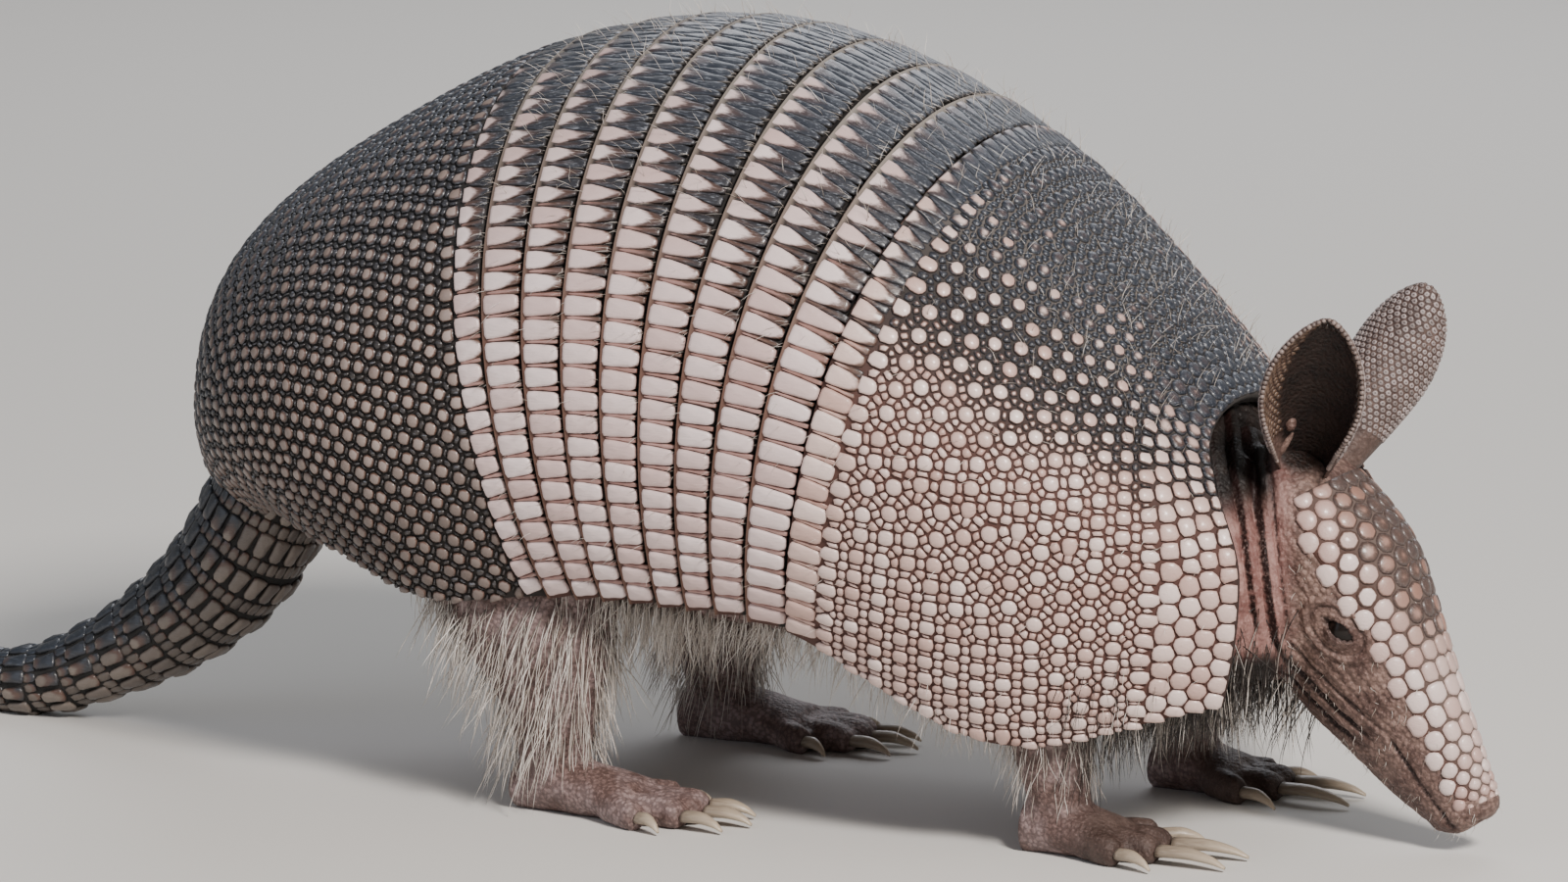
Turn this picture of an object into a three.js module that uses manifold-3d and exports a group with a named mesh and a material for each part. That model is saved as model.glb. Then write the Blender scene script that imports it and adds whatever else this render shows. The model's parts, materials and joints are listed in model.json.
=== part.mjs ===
// Nine-banded armadillo, life size, standing with its nose held to the ground.
// Millimetres, +Z up. The head points to +X and the animal's left is +Y.
import * as THREE from 'three';
import Module from 'manifold-3d';

const wasm = await Module();
wasm.setup();

// ---------------------------------------------------------------- driving dimensions (mm, degrees)
// The model is built about the middle of the back, then moved so that it stands over its own centre.
const CENTRE_OF_FOOTPRINT = -114.2;

const CUT_MARGIN = 0.45;
const LEG_MARGIN = 0.8;
const SHELL_THICKNESS = 3.6;
const SKIN_INSET = SHELL_THICKNESS + 1;
const BAND_COUNT = 8;
const BAND_LIP = 0.8;
const BAND_DIP = -0.8;
const PLATE_GAP = 0.01;

// Cross-sections of the carapace from the tail to the neck. Each is an arch leaning back or forward:
// half is its half width, rise and drop its height above and below the centre, edge the angle from
// the crown at which the plates end, lead how far its flanks run ahead of its crown, and belly the
// depth of the underside below the centre.
const CARAPACE = [
  { x: -150, z: 69, lean: -65, half: 23, rise: 22.5, drop: 30, edge: 104, lead: 0, belly: 20 },
  { x: -140, z: 80, lean: -50, half: 45, rise: 36, drop: 45, edge: 107, lead: 0, belly: 27 },
  { x: -119, z: 88, lean: -31, half: 65, rise: 63, drop: 60, edge: 114, lead: 0, belly: 38 },
  { x: -88, z: 104, lean: -17, half: 81, rise: 73, drop: 92, edge: 122, lead: 0, belly: 58 },
  { x: -44, z: 119, lean: -8, half: 88, rise: 81, drop: 96, edge: 128, lead: 0, belly: 74 },
  { x: 0, z: 120, lean: 3, half: 89, rise: 84.5, drop: 98, edge: 127, lead: 0, belly: 78 },
  { x: 47, z: 112, lean: 14, half: 88, rise: 71, drop: 96, edge: 126, lead: 0, belly: 75 },
  { x: 96, z: 90, lean: 8, half: 76, rise: 57, drop: 102, edge: 126, lead: 3, belly: 62 },
  { x: 132, z: 76, lean: 0, half: 50, rise: 39, drop: 80, edge: 115, lead: 19, belly: 44 },
];
const HIP_END = 4;
const SHOULDER_START = 6;
const SHIELD_FACETS = { across: 22, hip: 9, shoulder: 8 };
const TRUNK = { start: 0.35, end: 7.5, steps: 11, around: 22 };
const NECK = { gap: 0.015, collar: 0.2, collarInset: 2, stages: [0.3, 0.6, 0.82], around: 20 };
const NECK_FRONT = { x: 155, z: 66, half: 19, tall: 22 };

// Cross-sections of the head along its own axis, which points steeply down.
const HEAD_PITCH = 60;
const HEAD = [
  { t: -20, top: 180, bottom: 150, half: 17 },
  { t: -8, top: 186, bottom: 147, half: 22.5 },
  { t: 6, top: 191, bottom: 145, half: 25 },
  { t: 20, top: 193.3, bottom: 144.5, half: 24 },
  { t: 32, top: 192, bottom: 145, half: 21.5 },
  { t: 46, top: 189.7, bottom: 147.5, half: 16.8 },
  { t: 62, top: 187, bottom: 153, half: 12.5 },
  { t: 78, top: 184.3, bottom: 159, half: 9.6 },
  { t: 88, top: 182.5, bottom: 164.5, half: 7.8 },
  { t: 92, top: 180, bottom: 168.5, half: 5.2 },
];
const HEAD_FACETS = { around: 18, steps: 10 };
const JAW_NARROWING = 0.3;
const HEAD_SHIELD = { start: 1.3, end: 7.9, thickness: 2, raised: 0.5, across: 8, along: 7 };
const HEAD_SHIELD_SPREAD = [78, 78, 70, 62, 62, 68, 72, 74];

const EYE = { x: 164, y: 17.6, z: 60.5, radius: 4.3, around: 8 };
const EYE_TILTS = [-70, -36, 0, 36, 70];

const EAR_BASE = [156, 17, 96];
const EAR_TIP = [165, 31.5, 141];
const EAR_FACING = [0.25, 0.95, 0.1];
const EAR_THICKNESS = 1.4;
const EAR_DEPTH = 0.62;
const EAR_FACETS = { across: 7, along: 6 };
const EAR = [
  { width: 6.5, wrap: 130 },
  { width: 9.6, wrap: 112 },
  { width: 12.2, wrap: 92 },
  { width: 13.6, wrap: 80 },
  { width: 13.8, wrap: 70 },
  { width: 11.4, wrap: 62 },
  { width: 5.5, wrap: 55 },
];

// Centre line and radius of the tail: steeply down from the rump, then along the floor to its tip.
const TAIL = [
  { x: -146, y: 0, z: 80, r: 17.5 },
  { x: -156, y: 0, z: 62, r: 17.5 },
  { x: -167, y: 0, z: 45.5, r: 16.8 },
  { x: -183, y: 0, z: 31, r: 14.6 },
  { x: -206, y: 0, z: 17.5, r: 11.4 },
  { x: -231, y: 0, z: 9, r: 9.4 },
  { x: -270, y: 3, z: 7.2, r: 7.6 },
  { x: -314, y: 10, z: 5.8, r: 6.2 },
  { x: -358, y: 22, z: 4.4, r: 4.8 },
  { x: -398, y: 38, z: 3.0, r: 3.4 },
  { x: -430, y: 55, z: 1.7, r: 2.1 },
];
const TAIL_CUTS = [0.45, 1.6, 2.6, 3.6, 4.6, 5.9, 7.4, 10];
const TAIL_GAP = 0.012;
const TAIL_RINGS = { perLength: 2, step: 0.7, widest: 0.93, around: 12, fullStepRadius: 10 };

// Limbs as rows of level ellipses, from inside the body down to the ankle.
const HIND_LEG = [
  { x: -60, y: 46, z: 86, long: 28, wide: 14 },
  { x: -54, y: 51, z: 66, long: 29, wide: 14.5 },
  { x: -47, y: 53, z: 46, long: 22, wide: 13 },
  { x: -44, y: 52, z: 29, long: 14, wide: 10.5 },
  { x: -43, y: 51, z: 16, long: 10, wide: 8.5 },
  { x: -42, y: 51, z: 9, long: 9, wide: 8 },
];
const FORE_LEG = [
  { x: 92, y: 46, z: 76, long: 21, wide: 13 },
  { x: 95, y: 47, z: 56, long: 19, wide: 13 },
  { x: 96, y: 46, z: 40, long: 14, wide: 11.5 },
  { x: 97, y: 44, z: 26, long: 10.5, wide: 9.5 },
  { x: 98, y: 43, z: 16, long: 8.5, wide: 8.5 },
  { x: 99, y: 43, z: 9, long: 8, wide: 8 },
];
const HIND_FOOT = {
  sole: [
    { x: -54, y: 51, z: 5.6, wide: 6.5, tall: 6.5 },
    { x: -43, y: 51, z: 7.1, wide: 9, tall: 8 },
    { x: -29, y: 52, z: 6.1, wide: 11, tall: 7 },
    { x: -17, y: 53, z: 4.6, wide: 13, tall: 5.6 },
  ],
  root: { x: -23, y: 53 },
  digits: [
    { turn: 26, length: 14, wide: 3.2, claw: 8 },
    { turn: 11, length: 23, wide: 3.9, claw: 12 },
    { turn: 0, length: 25, wide: 4.2, claw: 13 },
    { turn: -11, length: 23, wide: 3.9, claw: 12 },
    { turn: -27, length: 13, wide: 3.1, claw: 8 },
  ],
};
const FORE_FOOT = {
  sole: [
    { x: 89, y: 43, z: 5.6, wide: 6.5, tall: 6.5 },
    { x: 98, y: 43, z: 7.1, wide: 8.5, tall: 8 },
    { x: 108, y: 43, z: 5.6, wide: 10.5, tall: 6.5 },
    { x: 115, y: 43, z: 4.6, wide: 11, tall: 5.4 },
  ],
  root: { x: 108, y: 43 },
  digits: [
    { turn: 22, length: 13, wide: 3.2, claw: 11 },
    { turn: 6, length: 20, wide: 4.4, claw: 19 },
    { turn: -8, length: 20, wide: 4.4, claw: 20 },
    { turn: -26, length: 14, wide: 3.2, claw: 12 },
  ],
};
const LIMB_SIDES = { leg: 10, sole: 12, digit: 6, claw: 5 };
// How far apart the digits start, in millimetres for each degree they turn out.
const DIGIT_SPREAD = 0.33;
// Along a digit: how far out, its width against the digit's own, its centre's height, its half height.
const DIGIT_ROWS = [
  { out: 0, width: 0.9, z: 4.2, tall: 4.15 },
  { out: 0.8, width: 1, z: 3.8, tall: 4.2 },
  { out: 1, width: 0.7, z: 2.8, tall: 2.25 },
];
const CLAW_GAP = 0.3;
const CLAW_ROWS = [
  { out: 0, width: 0.6, z: 3.4, tall: 1.9 },
  { out: 0.45, width: 0.56, z: 3.6, tall: 1.8 },
  { out: 0.8, width: 0.34, z: 2.6, tall: 1.2 },
  { out: 1, width: 0.14, z: 1.2, tall: 0.5 },
];
const FLOOR_BLOCK = { x: 1600, y: 600, depth: 60 };

const FINISHES = {
  shield: { color: 0x6e6258, roughness: 0.55 },
  band: { color: 0xb9a197, roughness: 0.5 },
  skin: { color: 0x9c7c70, roughness: 0.7 },
  headPlate: { color: 0xb99a8b, roughness: 0.5 },
  ear: { color: 0x6f5d54, roughness: 0.65 },
  eye: { color: 0x120d0b, roughness: 0.12 },
  claw: { color: 0xb7a58c, roughness: 0.45 },
  tail: { color: 0x5f5a5a, roughness: 0.6 },
};

// ---------------------------------------------------------------- small tools
const RAD = Math.PI / 180;
const X = new THREE.Vector3(1, 0, 0);
const Y = new THREE.Vector3(0, 1, 0);
const Z = new THREE.Vector3(0, 0, 1);
const { lerp, clamp } = THREE.MathUtils;
const vec = (x, y, z) => new THREE.Vector3(x, y, z);

// Calls make(k) for k from 0 to count - 1 and keeps the results.
function repeat(count, make) {
  return Array.from({ length: count }, (_, k) => make(k));
}

// Smooth values between the rows of a table, at row number s.
function along(rows, s) {
  const last = rows.length - 1;
  const at = clamp(s, 0, last);
  const i = Math.min(Math.floor(at), last - 1);
  const f = at - i;
  const values = {};
  for (const key of Object.keys(rows[0])) {
    const b = rows[i][key];
    const c = rows[i + 1][key];
    const a = i > 0 ? rows[i - 1][key] : 2 * b - c;
    const d = i + 2 <= last ? rows[i + 2][key] : 2 * c - b;
    const bend = (2 * a - 5 * b + 4 * c - d) * f * f + (3 * (b - c) + d - a) * f * f * f;
    values[key] = 0.5 * (2 * b + (c - a) * f + bend);
  }
  return values;
}

// A point of a surface moved outward along its normal.
function lifted(surface, u, v, lift) {
  const step = 1e-3;
  const du = surface(u + step, v).sub(surface(u - step, v));
  const dv = surface(u, v + step).sub(surface(u, v - step));
  return surface(u, v).addScaledVector(du.cross(dv).normalize(), lift);
}

// A ring of points about a centre, spread along two directions.
function ellipse(centre, right, up, halfRight, halfUp, count) {
  return repeat(count, (k) => {
    const a = (k / count) * 2 * Math.PI;
    return centre.clone()
      .addScaledVector(right, halfRight * Math.sin(a))
      .addScaledVector(up, halfUp * Math.cos(a));
  });
}

// ---------------------------------------------------------------- bodies
// A body is a list of points and a list of triangles. Its faces are turned outward here.
function closed(points, faces) {
  let volume = 0;
  for (const [a, b, c] of faces) {
    volume += points[a].dot(points[b].clone().cross(points[c]));
  }
  return { points, faces: volume > 0 ? faces : faces.map(([a, b, c]) => [a, c, b]) };
}

// Skins a row of rings that all have the same number of points, and closes both ends.
function loft(rings) {
  const count = rings[0].length;
  const points = rings.flat();
  const faces = [];
  for (let i = 0; i + 1 < rings.length; i += 1) {
    for (let j = 0; j < count; j += 1) {
      const a = i * count + j;
      const b = i * count + ((j + 1) % count);
      faces.push([a, b, b + count], [a, b + count, a + count]);
    }
  }
  const closeEnd = (ring, start, flip) => {
    const hub = points.length;
    points.push(ring.reduce((sum, p) => sum.add(p), vec(0, 0, 0)).divideScalar(count));
    for (let j = 0; j < count; j += 1) {
      const a = start + j;
      const b = start + ((j + 1) % count);
      faces.push(flip ? [b, a, hub] : [a, b, hub]);
    }
  };
  closeEnd(rings[0], 0, true);
  closeEnd(rings.at(-1), (rings.length - 1) * count, false);
  return closed(points, faces);
}

// A plate between an outer and an inner surface, each given over u and v from 0 to 1.
function plate(outer, inner, across, lengthwise) {
  const points = [];
  const faces = [];
  const stride = lengthwise + 1;
  const layer = (across + 1) * stride;
  for (const surface of [outer, inner]) {
    for (let i = 0; i <= across; i += 1) {
      for (let j = 0; j <= lengthwise; j += 1) {
        points.push(surface(i / across, j / lengthwise));
      }
    }
  }
  const quad = (a, b, c, d) => faces.push([a, b, c], [a, c, d]);
  for (let i = 0; i < across; i += 1) {
    for (let j = 0; j < lengthwise; j += 1) {
      const a = i * stride + j;
      quad(a, a + stride, a + stride + 1, a + 1);
      quad(layer + a, layer + a + 1, layer + a + stride + 1, layer + a + stride);
    }
  }
  for (let i = 0; i < across; i += 1) {
    const a = i * stride;
    const b = a + lengthwise;
    quad(a, layer + a, layer + a + stride, a + stride);
    quad(b, b + stride, layer + b + stride, layer + b);
  }
  for (let j = 0; j < lengthwise; j += 1) {
    const b = across * stride + j;
    quad(j, j + 1, layer + j + 1, layer + j);
    quad(b, layer + b, layer + b + 1, b + 1);
  }
  return closed(points, faces);
}

// The same body with every point pushed outward.
function grown(body, by) {
  const normals = body.points.map(() => vec(0, 0, 0));
  for (const face of body.faces) {
    const [a, b, c] = face.map((i) => body.points[i]);
    const normal = b.clone().sub(a).cross(c.clone().sub(a)).normalize();
    for (const [k, i] of face.entries()) {
      const here = body.points[i];
      const one = body.points[face[(k + 1) % 3]].clone().sub(here);
      const two = body.points[face[(k + 2) % 3]].clone().sub(here);
      normals[i].addScaledVector(normal, one.angleTo(two));
    }
  }
  const points = body.points.map((p, i) => p.clone().addScaledVector(normals[i].normalize(), by));
  return { points, faces: body.faces };
}

function mirrored(body) {
  return closed(body.points.map((p) => vec(p.x, -p.y, p.z)), body.faces);
}

function toManifold(body) {
  const vertProperties = new Float32Array(body.points.flatMap((p) => p.toArray()));
  const triVerts = new Uint32Array(body.faces.flat());
  return new wasm.Manifold(new wasm.Mesh({ numProp: 3, vertProperties, triVerts }));
}

function fromManifold(shape) {
  const { vertProperties, triVerts, numProp } = shape.getMesh();
  const points = repeat(vertProperties.length / numProp, (i) => (
    vec(...vertProperties.slice(i * numProp, i * numProp + 3))));
  const faces = repeat(triVerts.length / 3, (i) => [...triVerts.slice(i * 3, i * 3 + 3)]);
  return { points, faces };
}

function joined(bodies) {
  return fromManifold(bodies.map(toManifold).reduce((a, b) => a.add(b)));
}

// Cuts the neighbours away, leaving a clearance between them.
function trimmed(body, neighbours, margin = CUT_MARGIN) {
  const cutters = neighbours.map((other) => toManifold(grown(other, margin)));
  return fromManifold(cutters.reduce((a, b) => a.subtract(b), toManifold(body)));
}

// Levels whatever reaches below the floor.
function onFloor(body) {
  const { x, y, depth } = FLOOR_BLOCK;
  const corner = Math.SQRT1_2;
  const rings = [-depth, 0].map((z) => (
    ellipse(vec(0, 0, z), vec(corner, corner, 0), vec(-corner, corner, 0), x, y, 4)));
  return fromManifold(toManifold(body).subtract(toManifold(loft(rings))));
}

// ---------------------------------------------------------------- carapace, trunk and neck
// A point of a leaning arch, given the height of that point above the arch's centre.
function archPoint(at, angle, height) {
  const lean = at.lean * RAD;
  return vec(
    at.x + Math.sin(lean) * height + at.lead * Math.sin(angle) ** 4,
    at.half * Math.sin(angle),
    at.z + Math.cos(lean) * height,
  );
}

// The point of the carapace at section s, at an angle in radians from the crown.
function carapace(s, angle) {
  const at = along(CARAPACE, s);
  const reach = Math.cos(angle) > 0 ? at.rise : at.drop;
  return archPoint(at, angle, reach * Math.cos(angle));
}

// The same body carried round under the belly.
function torso(s, angle) {
  const at = along(CARAPACE, s);
  const edge = at.edge * RAD;
  const past = Math.abs(angle) - edge;
  if (past <= 0) {
    return carapace(s, angle);
  }
  const sill = at.drop * Math.cos(edge);
  const ease = Math.sin((past / (Math.PI - edge)) * (Math.PI / 2));
  return archPoint(at, angle, lerp(sill, -at.belly, ease));
}

// A plate of the carapace from section start to section end; lift(v) shapes its outer face.
function carapacePlate(start, end, lengthwise, lift = () => 0) {
  const place = (u, v, height) => {
    const s = lerp(start, end, v);
    const edge = along(CARAPACE, s).edge * RAD;
    return lifted(carapace, s, lerp(-edge, edge, u), height);
  };
  const outer = (u, v) => place(u, v, lift(v));
  const inner = (u, v) => place(u, v, -SHELL_THICKNESS);
  return plate(outer, inner, SHIELD_FACETS.across, lengthwise);
}

function torsoRing(s, inset, count) {
  return repeat(count, (k) => lifted(torso, s, (2 * k / count - 1) * Math.PI, -inset));
}

function buildTrunk() {
  const { start, end, steps, around } = TRUNK;
  return loft(repeat(steps + 1, (i) => torsoRing(lerp(start, end, i / steps), SKIN_INSET, around)));
}

// The neck runs from the front of the trunk, just inside the shield, to the back of the head.
function buildNeck() {
  const { gap, collar, collarInset, stages, around } = NECK;
  const back = torsoRing(TRUNK.end + gap, SKIN_INSET, around);
  const collarRing = torsoRing(TRUNK.end + collar, SKIN_INSET + collarInset, around);
  const centre = vec(NECK_FRONT.x, 0, NECK_FRONT.z);
  // Both start under the throat and turn the same way round.
  const front = ellipse(centre, Y, Z, -NECK_FRONT.half, -NECK_FRONT.tall, around);
  const between = stages.map((f) => collarRing.map((p, k) => p.clone().lerp(front[k], f)));
  return loft([back, collarRing, ...between, front]);
}

// ---------------------------------------------------------------- head
const HEAD_AXIS = vec(Math.cos(HEAD_PITCH * RAD), 0, -Math.sin(HEAD_PITCH * RAD));
const HEAD_UP = vec(Math.sin(HEAD_PITCH * RAD), 0, Math.cos(HEAD_PITCH * RAD));

function headSurface(s, angle) {
  const at = along(HEAD, s);
  const middle = (at.top + at.bottom) / 2;
  const tall = (at.top - at.bottom) / 2;
  const width = at.half * (1 - JAW_NARROWING * (1 - Math.cos(angle)) / 2);
  return HEAD_AXIS.clone().multiplyScalar(at.t)
    .addScaledVector(HEAD_UP, middle + tall * Math.cos(angle))
    .addScaledVector(Y, width * Math.sin(angle));
}

function buildHead() {
  const { around, steps } = HEAD_FACETS;
  return loft(repeat(steps + 1, (i) => {
    const s = ((HEAD.length - 1) * i) / steps;
    return repeat(around, (k) => headSurface(s, (k / around) * 2 * Math.PI));
  }));
}

// The bony cap from the crown to the snout, narrower at the eyes.
function buildHeadShield() {
  const { start, end, thickness, raised } = HEAD_SHIELD;
  const spreads = HEAD_SHIELD_SPREAD.map((spread) => ({ spread }));
  const place = (u, v, height) => {
    const { spread } = along(spreads, v * (spreads.length - 1));
    return lifted(headSurface, lerp(start, end, v), lerp(-spread, spread, u) * RAD, height);
  };
  const outer = (u, v) => place(u, v, raised);
  const inner = (u, v) => place(u, v, raised - thickness);
  return plate(outer, inner, HEAD_SHIELD.across, HEAD_SHIELD.along);
}

// The cup of the left ear, open outward. Its back runs along the line from base to tip.
function buildEar() {
  const base = vec(...EAR_BASE);
  const axis = vec(...EAR_TIP).sub(base);
  const facing = vec(...EAR_FACING);
  facing.addScaledVector(axis, -facing.dot(axis) / axis.lengthSq()).normalize();
  const side = axis.clone().cross(facing).normalize();
  const cup = (v, u) => {
    const at = along(EAR, clamp(v, 0, 1) * (EAR.length - 1));
    const angle = (2 * u - 1) * at.wrap * RAD;
    return base.clone()
      .addScaledVector(axis, v)
      .addScaledVector(side, at.width * Math.sin(angle))
      .addScaledVector(facing, EAR_DEPTH * at.width * (1 - Math.cos(angle)));
  };
  const outer = (u, v) => lifted(cup, v, u, EAR_THICKNESS / 2);
  const inner = (u, v) => lifted(cup, v, u, -EAR_THICKNESS / 2);
  return plate(outer, inner, EAR_FACETS.across, EAR_FACETS.along);
}

function buildEye() {
  return loft(EYE_TILTS.map((tilt) => {
    const centre = vec(EYE.x, EYE.y + EYE.radius * Math.sin(tilt * RAD), EYE.z);
    const radius = EYE.radius * Math.cos(tilt * RAD);
    return ellipse(centre, X, Z, radius, radius, EYE.around);
  }));
}

// ---------------------------------------------------------------- limbs
function buildLeg(rows) {
  return loft(rows.map((at) => ellipse(vec(at.x, at.y, at.z), X, Y, at.long, at.wide, LIMB_SIDES.leg)));
}

// A digit or claw: ellipses along the digit's heading, from near to far.
function buildAlongDigit(foot, digit, rows, from, length, sides) {
  const heading = X.clone().applyAxisAngle(Z, digit.turn * RAD);
  const across = Y.clone().applyAxisAngle(Z, digit.turn * RAD);
  const start = vec(foot.root.x, foot.root.y + digit.turn * DIGIT_SPREAD, 0);
  return loft(rows.map((row) => {
    const centre = start.clone().addScaledVector(heading, from + length * row.out).setZ(row.z);
    return ellipse(centre, across, Z, digit.wide * row.width, row.tall, sides);
  }));
}

function buildDigit(foot, digit) {
  return buildAlongDigit(foot, digit, DIGIT_ROWS, 0, digit.length, LIMB_SIDES.digit);
}

function buildClaw(foot, digit) {
  return buildAlongDigit(foot, digit, CLAW_ROWS, digit.length + CLAW_GAP, digit.claw, LIMB_SIDES.claw);
}

function buildFoot(foot) {
  const rings = foot.sole.map((at) => (
    ellipse(vec(at.x, at.y, at.z), Y, Z, at.wide, at.tall, LIMB_SIDES.sole)));
  return onFloor(joined([loft(rings), ...foot.digits.map((digit) => buildDigit(foot, digit))]));
}

// ---------------------------------------------------------------- tail
function tailSection(s, step) {
  const at = along(TAIL, s);
  const ahead = along(TAIL, s + 0.01);
  const behind = along(TAIL, s - 0.01);
  const heading = vec(ahead.x - behind.x, ahead.y - behind.y, ahead.z - behind.z).normalize();
  const across = Z.clone().cross(heading).normalize();
  const up = heading.clone().cross(across).normalize();
  const radius = at.r + step;
  return ellipse(vec(at.x, at.y, at.z), across, up, radius, radius, TAIL_RINGS.around);
}

// A length of the tail, with its rings standing proud as small steps.
function buildTailLength(start, end) {
  const { perLength, step, widest, fullStepRadius } = TAIL_RINGS;
  const span = (end - start) / perLength;
  const proud = (step / 2) * Math.min(1, along(TAIL, start).r / fullStepRadius);
  const rings = repeat(perLength, (i) => [
    tailSection(start + span * i, -proud),
    tailSection(start + span * (i + widest), proud),
  ]).flat();
  return onFloor(loft([...rings, tailSection(end, -proud)]));
}

// ---------------------------------------------------------------- solids
const shoulderShield = carapacePlate(
  SHOULDER_START + PLATE_GAP / 2,
  CARAPACE.length - 1,
  SHIELD_FACETS.shoulder,
);
const hipShield = carapacePlate(0, HIP_END - PLATE_GAP / 2, SHIELD_FACETS.hip);
const bandSpan = (SHOULDER_START - HIP_END) / BAND_COUNT;
const bands = repeat(BAND_COUNT, (i) => {
  const front = SHOULDER_START - bandSpan * i - PLATE_GAP / 2;
  const rear = front - bandSpan + PLATE_GAP;
  return carapacePlate(rear, front, 1, (v) => lerp(BAND_LIP, BAND_DIP, v));
});

const tailLengths = repeat(TAIL_CUTS.length - 1, (i) => (
  buildTailLength(TAIL_CUTS[i] + (i > 0 ? TAIL_GAP : 0), TAIL_CUTS[i + 1])));
const tailRoot = trimmed(tailLengths[0], [hipShield]);

const ear = buildEar();
const eye = buildEye();
const headShield = buildHeadShield();
const wholeHead = buildHead();
const head = trimmed(wholeHead, [headShield, eye, mirrored(eye), ear, mirrored(ear)]);
const wholeTrunk = buildTrunk();
const trunk = trimmed(wholeTrunk, [tailLengths[0], tailLengths[1]]);
const neck = trimmed(buildNeck(), [wholeHead, headShield, shoulderShield, ear, mirrored(ear)]);

// ---------------------------------------------------------------- scene graph
const model = new THREE.Group();
model.name = 'armadillo';
model.position.x = -CENTRE_OF_FOOTPRINT;

function addGroup(name) {
  const group = new THREE.Group();
  group.name = name;
  model.add(group);
  return group;
}

function addMesh(group, name, body, finish) {
  const geometry = new THREE.BufferGeometry();
  const positions = body.points.flatMap((p) => p.toArray());
  geometry.setAttribute('position', new THREE.Float32BufferAttribute(positions, 3));
  geometry.setIndex(body.faces.flat());
  geometry.computeVertexNormals();
  const mesh = new THREE.Mesh(geometry, new THREE.MeshStandardMaterial({ ...finish, metalness: 0 }));
  mesh.name = name;
  group.add(mesh);
}

function addPair(group, name, body, finish) {
  addMesh(group, `${name}_left`, body, finish);
  addMesh(group, `${name}_right`, mirrored(body), finish);
}

const carapaceGroup = addGroup('carapace');
addMesh(carapaceGroup, 'shoulder_shield', shoulderShield, FINISHES.shield);
addMesh(carapaceGroup, 'hip_shield', hipShield, FINISHES.shield);
for (const [i, band] of bands.entries()) {
  addMesh(carapaceGroup, `band_${i + 1}`, band, FINISHES.band);
}

const torsoGroup = addGroup('torso');
addMesh(torsoGroup, 'trunk', trunk, FINISHES.skin);
addMesh(torsoGroup, 'neck', neck, FINISHES.skin);

const headGroup = addGroup('head_parts');
addMesh(headGroup, 'head', head, FINISHES.skin);
addMesh(headGroup, 'head_shield', headShield, FINISHES.headPlate);
addPair(headGroup, 'ear', ear, FINISHES.ear);
addPair(headGroup, 'eye', eye, FINISHES.eye);

const tailGroup = addGroup('tail');
for (const [i, length] of [tailRoot, ...tailLengths.slice(1)].entries()) {
  addMesh(tailGroup, `tail_${i + 1}`, length, FINISHES.tail);
}

function addLimbs(name, legRows, foot) {
  const group = addGroup(`${name}_limbs`);
  const leg = buildLeg(legRows);
  const footBody = buildFoot(foot);
  for (const [side, turned] of [['left', (body) => body], ['right', mirrored]]) {
    const legOfSide = trimmed(turned(leg), [wholeTrunk, turned(footBody)], LEG_MARGIN);
    addMesh(group, `${name}_leg_${side}`, legOfSide, FINISHES.skin);
  }
  addPair(group, `${name}_foot`, footBody, FINISHES.skin);
  for (const [i, digit] of foot.digits.entries()) {
    addPair(group, `${name}_claw_${i + 1}`, buildClaw(foot, digit), FINISHES.claw);
  }
}

addLimbs('hind', HIND_LEG, HIND_FOOT);
addLimbs('fore', FORE_LEG, FORE_FOOT);

export default model;
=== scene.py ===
# %% [markdown]
# # A long-nosed armadillo, life size
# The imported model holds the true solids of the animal. This script dresses them: every shell
# plate gets its scutes, the flesh becomes one skin, and hair grows from it.
# The frame is loaded first, so that nothing made later can move a solid.

# %% Load the frame
import math

import bmesh
import bpy
import numpy as np
from mathutils import Matrix, Vector
from mathutils.kdtree import KDTree
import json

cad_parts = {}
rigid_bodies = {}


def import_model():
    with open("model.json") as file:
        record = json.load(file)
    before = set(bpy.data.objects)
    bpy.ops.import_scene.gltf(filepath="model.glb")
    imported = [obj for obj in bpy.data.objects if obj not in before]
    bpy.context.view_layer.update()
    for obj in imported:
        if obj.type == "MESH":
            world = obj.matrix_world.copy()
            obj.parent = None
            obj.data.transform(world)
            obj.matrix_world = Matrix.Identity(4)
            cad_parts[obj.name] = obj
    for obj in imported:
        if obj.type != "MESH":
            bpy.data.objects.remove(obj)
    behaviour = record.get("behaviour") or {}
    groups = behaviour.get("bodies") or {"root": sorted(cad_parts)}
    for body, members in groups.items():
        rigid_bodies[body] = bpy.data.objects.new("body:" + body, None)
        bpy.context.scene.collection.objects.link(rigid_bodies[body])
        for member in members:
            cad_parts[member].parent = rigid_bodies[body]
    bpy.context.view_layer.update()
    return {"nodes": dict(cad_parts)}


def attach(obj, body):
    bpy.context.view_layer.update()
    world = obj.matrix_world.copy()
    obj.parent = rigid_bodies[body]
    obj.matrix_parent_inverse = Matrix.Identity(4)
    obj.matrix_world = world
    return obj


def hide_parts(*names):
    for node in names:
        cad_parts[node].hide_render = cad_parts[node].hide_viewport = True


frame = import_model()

print("frame nodes:", len(frame["nodes"]))

# %% [markdown]
# ## Small tools
# Shapes are worked out in millimetres, about the middle of the body, and turned to Blender's
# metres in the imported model's frame only when a mesh is made. A Catmull-Rom curve through a
# few named rows gives a smooth body from a handful of sizes.

# %% Units, colours and curves
MM = 0.001
BODY_CENTRE_X = 114.2
SIDES = {1: "left", -1: "right"}
RANDOM = np.random.default_rng(9)


def to_frame(points):
    """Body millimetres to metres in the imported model's frame."""
    return (np.asarray(points, float) + (BODY_CENTRE_X, 0, 0)) * MM


def unit(vectors):
    return vectors / np.maximum(np.linalg.norm(vectors, axis=-1, keepdims=True), 1e-9)


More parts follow.
